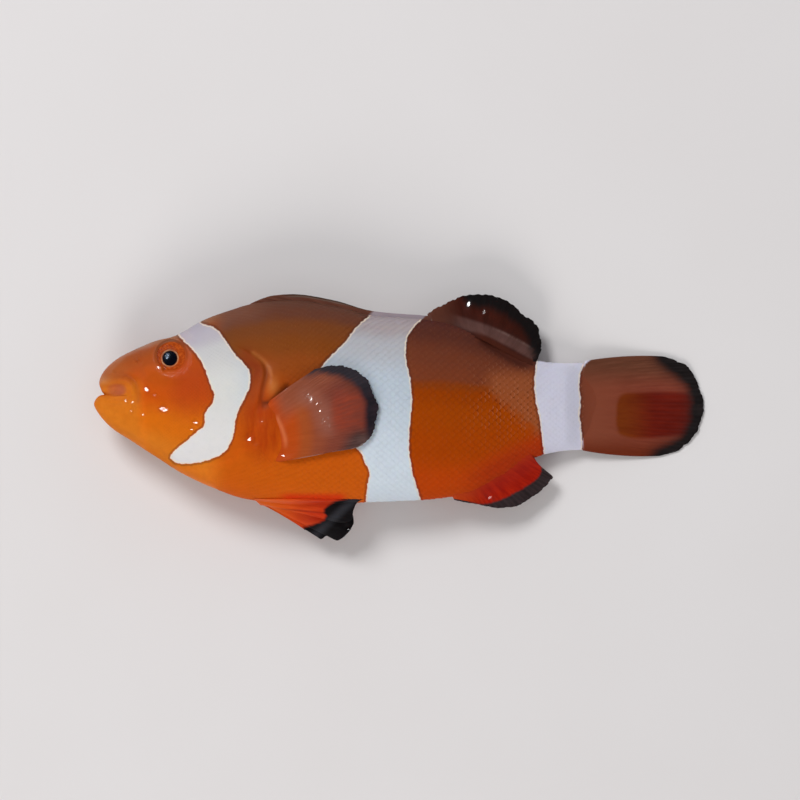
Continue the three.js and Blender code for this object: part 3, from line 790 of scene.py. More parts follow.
def skin_relief_group(name):
    """The fine pores and wet film of bare skin, as a height."""
    tree, w, given, end = new_group(name, ["Fine", "Broad"], [
        ("Height", "NodeSocketFloat"), ("Film", "NodeSocketFloat"),
    ])
    position = w.place()[2]
    fine = w.noise(position, 4.5, 4.0, 0.6)
    broad = w.noise(position, 0.9, 3.0)
    w.put(end.inputs[0], w.plus(w.times(fine, given["Fine"]), w.times(broad, given["Broad"])))
    w.put(end.inputs[1], broad)
    return tree


def new_material(name):
    """A material with a node tree, its wiring and its one shader."""
    material = bpy.data.materials.new(name)
    material.use_nodes = True
    material.node_tree.nodes.clear()
    w = Wiring(material.node_tree)
    shader = w.add("ShaderNodeBsdfPrincipled")
    output = w.add("ShaderNodeOutputMaterial")
    w.tree.links.new(shader.outputs[0], output.inputs["Surface"])
    return material, w, shader


def place_group(w, build, *values):
    """Puts a shared group into a material with the material's own values, building it once."""
    name = build.__name__.removesuffix("_group")
    node = w.add("ShaderNodeGroup", node_tree=bpy.data.node_groups.get(name) or build(name))
    for socket, value in zip(node.inputs, values, strict=True):
        socket.default_value = value
    return node.outputs


def finish_wet(shader, coat, coat_roughness, subsurface, gloss=0.4):
    """Constant settings of wet, slightly translucent flesh."""
    shader.inputs["Specular IOR Level"].default_value = gloss
    shader.inputs["Coat Weight"].default_value = coat
    shader.inputs["Coat Roughness"].default_value = coat_roughness
    shader.inputs["Coat IOR"].default_value = 1.36
    shader.inputs["IOR"].default_value = 1.38
    shader.inputs["Subsurface Weight"].default_value = subsurface
    shader.inputs["Subsurface Radius"].default_value = (1.0, 0.35, 0.15)
    shader.inputs["Subsurface Scale"].default_value = 0.6 * MM


def skin_material():
    """Bare skin, dull between its wet pores."""
    material, w, shader = new_material("clownfish_skin")
    markings = place_group(w, markings_group, 0.12, 0.8)
    grain = place_group(w, skin_relief_group, 0.35, 0.9)
    w.put(shader.inputs["Base Color"], markings["Color"])
    w.put(shader.inputs["Roughness"], w.plus(w.times(grain["Film"], 0.25), 0.35))
    w.put(shader.inputs["Normal"], w.bump(grain["Height"], 0.3, 0.12 * MM))
    finish_wet(shader, 0.03, 0.07, 0.12, 0.06)
    w.put(shader.inputs["Coat Weight"], w.plus(w.attribute("pore"), 0.03, clamp=True))
    return material


def scale_material():
    """Scales with the skin's markings, a darker hidden root, a paler rim and fine rings."""
    material, w, shader = new_material("clownfish_scales")
    markings = place_group(w, markings_group, 0.08, 0.75)
    grain = place_group(w, skin_relief_group, 0.25, 0.7)
    lap = w.attribute("lap")
    root = w.times(w.fall(lap, 0.40, 0.66), markings["Texture"])
    rim = w.times(w.step(lap, 0.8, 0.98), markings["Texture"])
    coloured = w.less(w.times(markings["White"], 0.9))
    patchy = w.step(w.noise(w.place()[2], 0.9, 2.0), 0.34, 0.62)
    colour = w.mix(w.times(root, coloured, patchy, 0.5), markings["Color"], (0.06, 0.006, 0.001))
    colour = w.mix(w.times(rim, coloured, patchy, 0.28), colour, (0.55, 0.22, 0.12))
    w.put(shader.inputs["Base Color"], colour)
    w.put(shader.inputs["Roughness"], w.plus(w.times(grain["Film"], 0.2), 0.45))
    rings = w.math("SINE", w.times(w.attribute("ring"), 26.0))
    height = w.plus(w.times(rings, 0.12), grain["Height"])
    w.put(shader.inputs["Normal"], w.bump(height, 0.2, 0.08 * MM))
    finish_wet(shader, 0.0, 0.08, 0.1, 0.05)
    w.put(shader.inputs["Coat Weight"], w.attribute("pore"))
    return material


def fin_material(name, paint, rays, coat=0.2, coat_roughness=0.08):
    """A wet rayed fin. paint(wiring, x, y, streak) gives its colour, and rays are its ray group's values."""
    material, w, shader = new_material(name)
    grain = place_group(w, fin_rays_group, *rays)
    x, y, _ = w.place()
    w.put(shader.inputs["Base Color"], paint(w, x, y, grain["Streak"]))
    w.put(shader.inputs["Roughness"], w.plus(w.times(grain["Streak"], 0.18), 0.4))
    w.put(shader.inputs["Normal"], w.bump(grain["Height"], 0.35, 0.09 * MM))
    finish_wet(shader, coat, coat_roughness, 0.06, 0.1)
    w.put(shader.inputs["Coat Weight"], w.plus(w.attribute("pore"), coat, clamp=True))
    return material


def tinted(w, streak, dark, light):
    """A membrane between its dark furrows and its lighter rays."""
    return w.mix(w.step(streak, 0.3, 0.85), dark, light)


def feathered(w, distance, streak, softness, feather):
    """1 past a line, with its edge drawn out along the rays."""
    drawn = w.plus(distance, w.times(w.minus(streak, 0.55), feather))
    return w.step(drawn, -softness, softness)


def paint_tail(w, x, y, streak):
    """Brown and streaked, with a red patch, a black rear margin and the tail bar's end."""
    colours = bpy.context.scene.clownfish_colours
    brown = colours.fin_brown
    rayed = w.step(x, 28.5, 35.0)
    streaked = tinted(w, streak, toned(brown, 0.84, 0.72, 0.72), toned(brown, 1.1, 1.02, 1.05))
    base = w.mix(rayed, toned(brown, 1.02, 1.02, 1.0), streaked)
    upper = tinted(w, streak, toned(brown, 0.50, 0.66, 0.66), toned(brown, 0.70, 0.95, 1.0))
    base = w.mix(w.step(y, 3.5, 8.0), base, upper)
    base = w.mix(w.fall(y, -5.8, -2.4), base, toned(brown, 0.66, 0.40, 0.24))
    flush = w.times(w.step(x, 33.5, 38.5), w.hump(y, 0.6, 6.4))
    base = w.mix(w.times(flush, 0.75), base, toned(brown, 0.78, 0.46, 0.60))
    patch = feathered(w, w.attribute("patch"), streak, 0.4, 0.7)
    red = tinted(w, streak, (0.092, 0.004, 0.001), (0.145, 0.008, 0.002))
    tan = tinted(w, streak, (0.135, 0.020, 0.001), (0.175, 0.032, 0.002))
    base = w.mix(w.times(patch, 0.95), base, w.mix(w.step(x, 32.5, 38.5), tan, red))
    between_rays = w.step(w.math("COSINE", w.times(w.attribute("across"), FULL_TURN)), 0.6, 1.0)
    lines = w.times(between_rays, w.step(x, 31.5, 35.0), 0.09)
    base = w.mix(lines, base, (0.045, 0.004, 0.003))
    dusk = w.step(w.attribute("margin"), -2.0, 0.4)
    base = w.mix(w.times(dusk, 0.45), base, (0.040, 0.010, 0.008))
    black = feathered(w, w.attribute("margin"), streak, 0.8, 1.2)
    ink = tinted(w, streak, toned(colours.fin_black, 0.8, 0.8, 0.8), toned(colours.fin_black, 1.9, 1.8, 1.8))
    base = w.mix(black, base, ink)
    return w.mix(w.attribute("bar_here"), base, toned(colours.bar_white, 0.94, 0.91, 1.05))


def paint_back(w, x, y, streak):
    """Near black, with the pale band of its sheath, partly painted sheen, a painted highlight along it,
    painted shade in the groove below it, and a black margin.
    """
    colours = bpy.context.scene.clownfish_colours
    brown = colours.back_brown
    base = tinted(w, streak, (0.032, 0.006, 0.003), (0.060, 0.010, 0.005))
    over_band = w.attribute("band")
    band = w.times(w.fall(w.math("ABSOLUTE", over_band), 0.5, 1.15), w.step(x, 6.5, 11.0))
    # The sheath's pale grey-brown band: partly its own colour, partly painted sheen.
    sheath = w.mix(w.step(streak, 0.35, 0.75), toned(brown, 0.70, 0.98, 1.5), toned(brown, 1.02, 1.5, 2.4))
    base = w.mix(band, base, sheath)
    # A painted highlight along the top of the sheath.
    highlight_thread = w.times(w.hump(over_band, 0.7, 0.3), w.step(x, 13.0, 16.0), w.step(streak, 0.4, 0.6))
    base = w.mix(w.times(highlight_thread, 0.6), base, toned(brown, 1.5, 2.8, 4.5))
    # Painted shade in the groove under the sheath, where the fin leaves the body.
    seam = w.times(w.fall(w.attribute("seam"), 0.9, 1.5), w.step(x, 10.0, 13.5))
    base = w.mix(w.times(seam, 0.9), base, (0.062, 0.013, 0.006))
    base = w.mix(w.fall(x, 5.2, 9.6), base, toned(brown, 0.85, 0.85, 0.95))
    black = w.times(feathered(w, w.attribute("margin"), streak, 0.8, 2.0), w.step(x, 8.6, 9.8))
    return w.mix(black, base, tinted(w, streak, toned(colours.fin_black, 0.7, 0.6, 0.6), colours.fin_black))


def paint_spines(w, x, y, streak):
    """Brown, with a greenish-grey line of painted sheen and a dark rim along the middle of its edge."""
    colours = bpy.context.scene.clownfish_colours
    brown, rim = colours.back_brown, w.attribute("rim")
    body = w.mix(w.step(streak, 0.3, 0.8), toned(brown, 0.9, 0.95, 1.1), toned(brown, 1.1, 1.2, 1.3))
    dark = w.times(w.fall(rim, 0.35, 0.75), w.step(x, -18.5, -14.5), w.fall(x, -6.0, -3.0))
    body = w.mix(dark, body, tinted(w, streak, (0.030, 0.018, 0.014), (0.085, 0.055, 0.042)))
    # A greenish-grey line of painted sheen below the dark rim.
    olive_sheen = w.times(w.hump(rim, 0.95, 0.45), w.step(x, -18.0, -14.5), w.fall(x, -9.0, -6.5))
    body = w.mix(w.times(olive_sheen, 0.75), body, (0.145, 0.105, 0.082))
    pale = toned(colours.bar_white, 0.48, 0.40, 0.44)
    return w.mix(w.attribute("bar_here"), body, pale)


def paint_anal(w, x, y, streak):
    """Red along its rays, with a black margin."""
    colours = bpy.context.scene.clownfish_colours
    red = colours.fin_red
    base = tinted(w, streak, toned(red, 0.92, 0.6, 0.6), toned(red, 1.42, 1.7, 1.1))
    base = w.mix(w.fall(w.attribute("out"), 0.3, 2.4), base, toned(red, 1.3, 2.6, 1.5))
    base = w.mix(w.fall(x, 8.0, 13.5), base, toned(red, 1.5, 4.6, 1.6))
    black = feathered(w, w.attribute("margin"), streak, 0.22, 0.5)
    ink = tinted(w, streak, toned(colours.fin_black, 2.3, 2.0, 2.0), toned(colours.fin_black, 5.2, 4.5, 4.8))
    return w.mix(black, base, ink)


def paint_breast(w, x, y, streak):
    """Orange at the root, then grey-brown with a hazy arc of painted sheen and painted glint specks, red rays
    and a black edge.
    """
    colours = bpy.context.scene.clownfish_colours
    orange = colours.body_orange
    outward = w.ramp(w.times(w.attribute("out"), 1 / 16), [
        (0.0, (0.44, 0.054, 0.003)), (0.08, (0.45, 0.052, 0.002)), (0.20, (0.43, 0.056, 0.003)),
        (0.32, (0.35, 0.068, 0.014)), (0.44, (0.27, 0.061, 0.026)), (0.58, (0.21, 0.048, 0.028)),
        (0.72, (0.17, 0.040, 0.026)), (0.85, (0.12, 0.028, 0.018)), (1.0, (0.06, 0.020, 0.015)),
    ])
    furrow, ridge = w.mix(0.12, outward, (0.06, 0.012, 0.006)), w.mix(0.03, outward, (0.8, 0.3, 0.12))
    base = tinted(w, streak, furrow, ridge)
    upward = w.plus(w.times(x, -0.62), w.times(y, 0.78))
    near_top = w.times(w.step(upward, 8.8, 11.6), w.step(w.attribute("out"), 0.6, 3.6))
    base = w.mix(w.times(near_top, 0.85), base, tinted(w, streak, (0.23, 0.062, 0.030), (0.28, 0.082, 0.045)))
    # A hazy painted sheen along the arc, and painted glint specks on it.
    sheen_haze = w.times(w.hump(w.attribute("arc"), 0.0, 2.4), 0.55)
    base = w.mix(sheen_haze, base, tinted(w, streak, (0.28, 0.100, 0.066), (0.32, 0.125, 0.090)))
    specks = w.step(w.noise(w.place()[2], 1.5, 4.0), 0.52, 0.72)
    painted_glints = w.times(w.hump(w.attribute("arc"), 0.0, 0.8), specks)
    base = w.mix(w.times(painted_glints, 0.7), base, (0.50, 0.34, 0.30))
    rays = tinted(w, streak, (0.195, 0.040, 0.025), (0.350, 0.046, 0.016))
    zone = w.times(w.step(x, -10.4, -9.0), w.fall(w.math("ABSOLUTE", w.minus(y, 0.9)), 1.8, 4.0))
    base = w.mix(w.times(zone, 0.75), base, rays)
    dusk = w.times(w.step(w.minus(x, w.times(y, 0.55)), -6.8, -4.4), w.fall(y, -3.2, -0.8))
    base = w.mix(w.times(dusk, 0.8), base, tinted(w, streak, (0.030, 0.022, 0.022), (0.12, 0.075, 0.068)))
    lower_edge = w.times(w.fall(w.attribute("rim"), 0.1, 0.5), w.fall(y, -4.6, -3.4), w.step(x, -16.0, -12.0))
    base = w.mix(w.times(lower_edge, 0.6), base, (0.42, 0.33, 0.30))
    # A painted highlight along the raised crest at the fin's root.
    base = w.mix(w.times(w.attribute("crest"), 0.55), base, toned(orange, 1.08, 1.9, 14.0))
    black = w.times(feathered(w, w.attribute("margin"), streak, 0.65, 1.4), w.step(x, -14.6, -12.6))
    blue_black = toned(colours.fin_black, 0.9, 0.9, 1.3)
    inked = tinted(w, streak, toned(blue_black, 1.8, 1.8, 1.7), toned(blue_black, 4.8, 3.7, 3.5))
    inked = w.mix(w.times(w.step(y, 2.5, 6.0), 0.7), inked, (0.028, 0.024, 0.030))
    return w.mix(black, base, inked)


def paint_belly(w, x, y, streak):
    """Orange to deep red, with painted shade where its two lobes overlap, and black tips."""
    colours = bpy.context.scene.clownfish_colours
    orange = colours.body_orange
    deep = w.step(w.minus(x, w.times(y, 0.35)), -13.5, -6.6)
    base = w.mix(deep, toned(orange, 1.22, 0.92, 1.3), (0.47, 0.028, 0.004))
    furrow, ridge = w.mix(0.3, base, (0.40, 0.012, 0.001)), w.mix(0.14, base, (0.95, 0.16, 0.03))
    base = w.mix(w.step(streak, 0.35, 0.8), furrow, ridge)
    # Painted shade along the line where the upper lobe lies over the lower one.
    fold = w.hump(w.plus(y, w.times(x, 0.092)), -15.25, 0.26)
    base = w.mix(w.times(fold, w.step(x, -20.5, -17.0), 0.6), base, (0.20, 0.010, 0.003))
    base = w.mix(w.fall(w.attribute("out"), 1.0, 6.5), base, toned(orange, 1.02, 0.95, 1.0))
    black = feathered(w, w.attribute("margin"), streak, 0.3, 0.9)
    ink = toned(colours.fin_black, 0.7, 0.7, 0.8)
    sheen = w.hump(w.minus(y, w.times(x, 0.94)), -5.9, 1.5)
    return w.mix(black, base, w.mix(w.times(sheen, 0.45), ink, (0.050, 0.050, 0.060)))


# ---------------------------------------------------------------- fins
# Each fin's root line, from front to back or top to bottom, and its free edge, as x, y.
TAIL_ROOT = [(27.6, 8.25), (26.9, 5.0), (26.8, 1.6), (26.9, -1.8), (27.3, -5.05)]
TAIL_EDGE = [
    (39.4, 8.95), (42.75, 7.45), (44.5, 4.7), (45.25, 1.5), (44.3, -2.1), (42.0, -4.75), (38.9, -5.85),
]
SPINES_ROOT = [(-23.6, 14.9), (-15, 15.9), (-9, 15.2), (-4, 13.8), (3.4, 13.0), (6.4, 12.8)]
SPINES_EDGE = [
    (-22.8, 16.2), (-21.9, 16.75), (-20.4, 17.4), (-18.4, 17.95), (-14.5, 18.05), (-9.2, 17.1), (-4, 15.65),
    (3.2, 15.0), (6.8, 14.6),
]
BACK_ROOT = [(4.6, 13.3), (8.5, 12.6), (12.3, 11.3), (14.5, 10.15), (16.6, 9.0), (18.4, 8.05), (20.0, 7.5)]
BACK_EDGE = [
    (4.2, 15.1), (6.4, 16.5), (8.8, 17.65), (12.3, 18.2), (15.9, 17.15), (18.7, 15.05), (20.5, 13.1),
    (21.1, 11.0), (20.9, 9.4), (20.3, 8.0),
]
ANAL_ROOT = [(7.4, -10.8), (12, -9.0), (16, -6.8), (19.4, -4.9)]
ANAL_EDGE = [
    (8.2, -12.4), (11.4, -12.95), (14.6, -13.5), (17.8, -13.15), (20.3, -11.55), (22.2, -9.9), (22.7, -8.8),
    (20.9, -7.5),
]
LEFT_BREAST_EDGE = [
    (-12.4, 6.95), (-9.2, 7.55), (-6.4, 6.75), (-4.3, 4.5), (-3.25, 1.0), (-3.8, -2.2), (-5.8, -4.4),
    (-9.4, -5.05),
]
BREAST_CREST = line([(-18.1, 0.6), (-17.7, -0.6), (-17.1, -2.0), (-16.7, -3.6), (-16.7, -5.2)], 30)
LEFT_BELLY_ROOT = [(-21.6, -12.0), (-20.5, -13.1)]
LEFT_BELLY_EDGE = [
    (-5.0, -12.05), (-6.3, -12.8), (-6.8, -14.2), (-7.1, -15.4), (-8.8, -15.7), (-10.2, -15.0),
    (-11.4, -14.25),
]
RIGHT_BELLY_ROOT = [(-20.9, -12.2), (-20.2, -13.1)]
RIGHT_BELLY_EDGE = [
    (-6.9, -14.2), (-6.75, -15.8), (-7.5, -17.2), (-9.1, -18.35), (-10.6, -17.7), (-11.6, -18.2),
    (-12.4, -17.1), (-14.0, -16.8),
]
WHOLE_FIN, WHOLE_FISH = 30, 60  # how far out to measure a distance to cover one fin, or all of the fish


def fin_sheet(name, root, edge, paint, replaces, rays, height, columns, rows, half=0.11, root_half=0.3,
              flare=1.4, ray_relief=0.05, bare_root=2.5, branch=0.5, bow=0.0, teeth=0.14, waves=0.1,
              values=None, band=None):
    """A closed rayed fin from a root line to a free edge, with branching rays and an uneven edge.

    s runs along the root and t out along the rays, on columns by rows points. height(x, y, s, t) gives the
    middle layer's level, values(x, y) what the material reads, and band(x, y) how much thicker the web is.
    half is half the web's thickness and root_half that at the root, which thins out over flare. Rays stand
    out by ray_relief past bare_root, fork at the share branch of their length, and bend sideways by bow.
    teeth is how uneven the free edge is, and waves how wavy the web is.
    """
    s, t = np.meshgrid(np.linspace(0, 1, columns), np.linspace(0, 1, rows) ** 0.85, indexing="ij")
    start, finish = evenly(root)(s), evenly(edge)(s)
    random = np.random.default_rng(sum(map(ord, name)))
    # The rays, single at first and double past the fork.
    sway = np.interp(s * rays, np.arange(rays + 1), random.normal(0, 0.1, rays + 1))
    across = s * rays + sway * t
    single = (0.5 + 0.5 * np.cos(2 * np.pi * across)) ** 1.5
    double = (0.5 - 0.5 * np.cos(4 * np.pi * across)) ** 1.5
    split = ease((t - branch) / 0.2)
    ray = single * (1 - split) + double * split
    # Where each point lies, out to the uneven edge, and how far it is from the root and from the rim.
    uneven = np.interp(s * rays * 2, np.arange(rays * 2 + 1), random.normal(0, 0.75, rays * 2 + 1))
    tooth = teeth * (0.6 * (double - 0.4) + uneven) * ease((t - 0.82) / 0.18)
    reach = np.hypot(*np.moveaxis(finish - start, -1, 0))
    far = t * (1 + tooth / reach)
    x = start[..., 0] + (finish[..., 0] - start[..., 0]) * far
    y = start[..., 1] + (finish[..., 1] - start[..., 1]) * far + bow * (1 - 2 * s) * 4 * t * (1 - t)
    away = reach * far
    rim = np.minimum(reach * (1 - t), np.minimum(s, 1 - s) * reach)
    # Half the thickness, thinning outwards and towards the first and the last ray.
    grown, thinnest = ease((away - bare_root * 0.4) / bare_root), 0.04
    thick = half * (1 - 0.5 * t) + (root_half - half) * bell(away, flare)
    thick = thick + ray_relief * ray * grown * (1 - 0.3 * t)
    if band is not None:
        thick = thick + band(x, y)
    thick = thinnest + (thick - thinnest) * (0.4 + 0.6 * ease(np.minimum(s, 1 - s) * 36))
    wave = waves * np.sin(s * rays * 0.8 + 1.6 * np.sin(t * 3)) * t
    z = np.maximum(height(x, y, s, t) + wave, thick + CLEARANCE)
    upper = wet_facets(np.stack([x, y, z + thick], -1), z > -1, sheet_normals, 0.18).reshape(-1, 3)
    lower = np.stack([x, y, z - thick], -1).reshape(-1, 3)
    faces = sheet_faces(columns, rows)
    middle = (columns // 2) * rows + rows // 2
    if np.cross(upper[middle + rows] - upper[middle], upper[middle + 1] - upper[middle])[2] < 0:
        faces = [face[::-1] for face in faces]
    given = {"ray": ray, "out": away, "rim": rim, "across": across, "pore": wetness(x, y)}
    given.update(values(x, y) if values else {})
    doubled = {key: np.tile(np.ravel(value), 2) for key, value in given.items()}
    return add_piece(name, np.vstack([upper, lower]), faces, paint, (replaces,), doubled)


def past(x, y, path, reach=WHOLE_FIN):
    """How far each place lies to the left of a path, anywhere on the fin."""
    return signed_distance(x, y, path, reach)[0]


def bar_cover(x, y, bar):
    """1 where a white bar runs out over a fin."""
    return ease((depth_inside(x, y, bar) + 0.1) / 0.2)


# What each fin's material reads at each place.
def tail_values(x, y):
    patch, bar = depth_inside(x, y, TAIL_PATCH), bar_cover(x, y, TAIL_BAR)
    return {"margin": past(x, y, TAIL_BLACK), "patch": patch, "bar_here": bar}


def back_values(x, y):
    lines = {"margin": BACK_BLACK, "band": BACK_BAND, "seam": BACK_FIN_GROOVE}
    return {name: past(x, y, path) for name, path in lines.items()}


def breast_values(x, y):
    gap, along = signed_distance(x, y, BREAST_CREST)
    crest = bell(gap, 0.3) * ease(along / 0.25) * ease((1 - along) / 0.3)
    return {"crest": crest, "arc": np.abs(past(x, y, PAINTED_SHEEN_ARC, 6)), "margin": past(x, y, BREAST_BLACK)}


def belly_values(x, y):
    return {"margin": past(x, y, BELLY_BLACK)}


# ---------------------------------------------------------------- settings
class ClownfishSizes(bpy.types.PropertyGroup):
    """Sizes a user may change."""

    skin_rings: IntProperty(
        name="Skin rings", description="Points round the body", default=232, min=48, max=400)
    skin_depth: FloatProperty(
        name="Skin depth", description="How far the skin lies under the solids, as thick as the scales",
        default=0.16 * MM, unit="LENGTH", min=0.0, max=0.5 * MM)
    scale_size: FloatProperty(
        name="Scale size", description="Spacing of the scales on the flank", default=1.0 * MM,
        unit="LENGTH", min=0.6 * MM, max=2.0 * MM)
    scale_lift: FloatProperty(
        name="Scale lift", description="How far a scale's rear edge stands off the skin",
        default=0.085 * MM, unit="LENGTH", min=0.02 * MM, max=0.3 * MM)
    eye_radius: FloatProperty(
        name="Eye radius", description="Of the visible eye, out to its fold", default=2.2 * MM,
        unit="LENGTH", min=1.5 * MM, max=2.6 * MM)
    pupil_radius: FloatProperty(
        name="Pupil radius", description="Of the black pupil", default=1.08 * MM, unit="LENGTH",
        min=0.5 * MM, max=1.4 * MM)
    tail_rays: IntProperty(name="Tail rays", description="Rays in the tail fin", default=15, min=9, max=21)
    back_rays: IntProperty(
        name="Back fin rays", description="Soft rays in the back fin", default=15, min=9, max=20)
    breast_rays: IntProperty(
        name="Breast fin rays", description="Rays in each breast fin", default=17, min=9, max=22)


class ClownfishColours(bpy.types.PropertyGroup):
    """Colours a user may change."""

    body_orange: FloatVectorProperty(
        name="Body orange", description="Belly, cheeks and lower flank", subtype="COLOR",
        default=(0.60, 0.096, 0.005), min=0, max=1)
    back_brown: FloatVectorProperty(
        name="Back brown", description="Along the back", subtype="COLOR", default=(0.125, 0.038, 0.020),
        min=0, max=1)
    bar_white: FloatVectorProperty(
        name="Bar white", description="The white bars", subtype="COLOR", default=(0.67, 0.66, 0.66),
        min=0, max=1)
    band_edge: FloatVectorProperty(
        name="Bar edge", description="Thin cream line round each white bar", subtype="COLOR",
        default=(0.86, 0.68, 0.50), min=0, max=1)
    fin_brown: FloatVectorProperty(
        name="Fin brown", description="Front of the tail fin", subtype="COLOR",
        default=(0.205, 0.051, 0.026), min=0, max=1)
    fin_red: FloatVectorProperty(
        name="Fin red", description="The anal fin", subtype="COLOR", default=(0.29, 0.009, 0.002), min=0,
        max=1)
    fin_black: FloatVectorProperty(
        name="Fin black", description="The fins' margins", subtype="COLOR",
        default=(0.008, 0.006, 0.006), min=0, max=1)
    pupil: FloatVectorProperty(
        name="Pupil", description="The eye's pupil", subtype="COLOR", default=(0.003, 0.003, 0.006),
        min=0, max=1)
    iris: FloatVectorProperty(
        name="Iris", description="The eye's iris", subtype="COLOR", default=(0.44, 0.068, 0.010), min=0,
        max=1)
    iris_ring: FloatVectorProperty(
        name="Iris ring", description="Bright ring round the pupil", subtype="COLOR",
        default=(0.80, 0.50, 0.26), min=0, max=1)
    floor: FloatVectorProperty(
        name="Floor", description="The plain pale floor", subtype="COLOR", default=(0.685, 0.65, 0.64),
        min=0, max=1)


# ---------------------------------------------------------------- operators
class CLOWNFISH_OT_stage(bpy.types.Operator):
    """Makes the floor, the lights and the camera that looks straight down"""

    bl_idname = "clownfish.stage"
    bl_label = "Stage"

    def execute(self, context):
        scene = context.scene
        low, high = (Vector(corner) for corner in SOLIDS_BOX)
        middle = (low + high) / 2
        mesh, reach = bpy.data.meshes.new("floor"), 0.6
        corners = [(-reach, -reach, 0), (reach, -reach, 0), (reach, reach, 0), (-reach, reach, 0)]
        mesh.from_pydata(corners, [], [(0, 1, 2, 3)])
        material, w, shader = new_material("floor_matte")
        tone = w.noise(w.place()[2], 0.03, 2.0)
        pale = scene.clownfish_colours.floor
        w.put(shader.inputs["Base Color"], w.mix(tone, tuple(pale), toned(pale, 1.04, 1.05, 1.06)))
        w.put(shader.inputs["Roughness"], 0.75)
        mesh.materials.append(material)
        floor = bpy.data.objects.new("floor", mesh)
        scene.collection.objects.link(floor)

        def area(name, place, size, watts, colour=(1, 1, 1), mirrored=True, lights=True):
            """A round lamp aimed at the fish. It may show only in gloss, or only light dull surfaces."""
            lamp = bpy.data.lights.new(name, "AREA")
            lamp.shape, lamp.size, lamp.energy, lamp.color = "DISK", size, watts, colour
            holder = bpy.data.objects.new(name, lamp)
            holder.location = middle + Vector(place)
            holder.visible_glossy, holder.visible_diffuse = mirrored, lights
            holder.rotation_mode = "QUATERNION"
            holder.rotation_quaternion = (-Vector(place)).to_track_quat("-Z", "Y")
            scene.collection.objects.link(holder)

        area("window_light", (-0.30, 0.42, 0.62), 0.3, 3.9, (0.97, 0.985, 1.0))
        # Shows only as glints in the wet eye, pores and fins.
        area("spark_light", SPARK_LAMP, 0.11, 1.8, lights=False)
        # Soft light from the belly's side and from overhead, which wet skin doesn't mirror.
        area("low_light", (-0.22, -0.62, 0.42), 0.4, 2.7, (1.0, 0.985, 0.96), False)
        area("top_light", (0.05, -0.05, 0.8), 0.9, 1.0, (1.0, 1.0, 1.0), False)
        world = bpy.data.worlds.new("studio")
        world.use_nodes = True
        w = Wiring(world.node_tree)
        up = w.add("ShaderNodeSeparateXYZ")
        w.tree.links.new(w.add("ShaderNodeTexCoord").outputs["Generated"], up.inputs[0])
        sky = world.node_tree.nodes["Background"]
        # Bright all round and dark overhead, so that wet skin facing up keeps its colour.
        w.put(sky.inputs["Color"], w.ramp(up.outputs[2], [
            (0.0, (0.80, 0.81, 0.83)), (0.55, (0.74, 0.76, 0.79)), (0.86, (0.10, 0.11, 0.12)),
            (1.0, (0.02, 0.02, 0.03)),
        ]))
        sky.inputs["Strength"].default_value = 0.6
        scene.world = world

        lens = bpy.data.cameras.new("camera")
        lens.sensor_width, lens.lens = 36, 400
        lens.clip_start, lens.clip_end = 0.01, 10
        camera = bpy.data.objects.new("camera", lens)
        # The view is this wide at this height, and its middle stands this far from the solids' middle.
        width, level, aside, upward = 0.1184, 0.0065, 0.00015, 0.00244
        far = width * lens.lens / lens.sensor_width + level
        camera.location = (middle.x + aside, middle.y + upward, far)
        scene.collection.objects.link(camera)
        scene.camera = camera
        scene.view_settings.view_transform = "Standard"
        return {"FINISHED"}


def body_stations():
    """The skin's rings, closest together round the jaws."""
    return np.concatenate([
        np.linspace(0, 6, 64, endpoint=False), np.linspace(6, 17, 66, endpoint=False),
        np.linspace(17, 30, 66, endpoint=False), np.linspace(30, TAIL_STATION, 112),
    ])


def skin_values(x, y):
    """What the skin's and the scales' materials read at each place."""
    gill, along = signed_distance(x, y, GILL_EDGE)
    redness = bell(gill + 1.0, 1.5) * ease((0.7 - along) / 0.3) * ease(along / 0.12)
    stripes = 0.86 + 0.14 * np.sin(3.4 * gill + 1.5 * np.sin(along * 19))
    flush = 1 - ease((oval(x, y, (-20.1, -1.6), (3.6, 5.4)) - 0.45) / 0.75)
    fold, _ = signed_distance(x, y, SHOULDER_FOLD)
    knob = oval(x, y, (-18.5, 4.5), (0.95, 1.5))
    pocket = oval(x, y, **MOUTH_POCKET)
    return {
        "bar": bar_depth(x, y),
        "height": np.clip(height_share(x, y), -1, 1),
        "gill": np.clip(redness * stripes, 0, 1),
        "flush": flush,
        # The shoulder's golden knob and fold: partly their own colour, partly painted highlight on their
        # ridges.
        "gold": np.maximum(0.9 * bell(knob, 0.9), 0.6 * bell(fold - 0.1, 0.32)),
        "mouth": (1 - ease((pocket - 0.55) / 0.6)) * (0.45 + 0.45 * ease((x + 43.2) / 2.4)),
        "crease": crease_shade(x, y),
        "pore": wetness(x, y),
    }


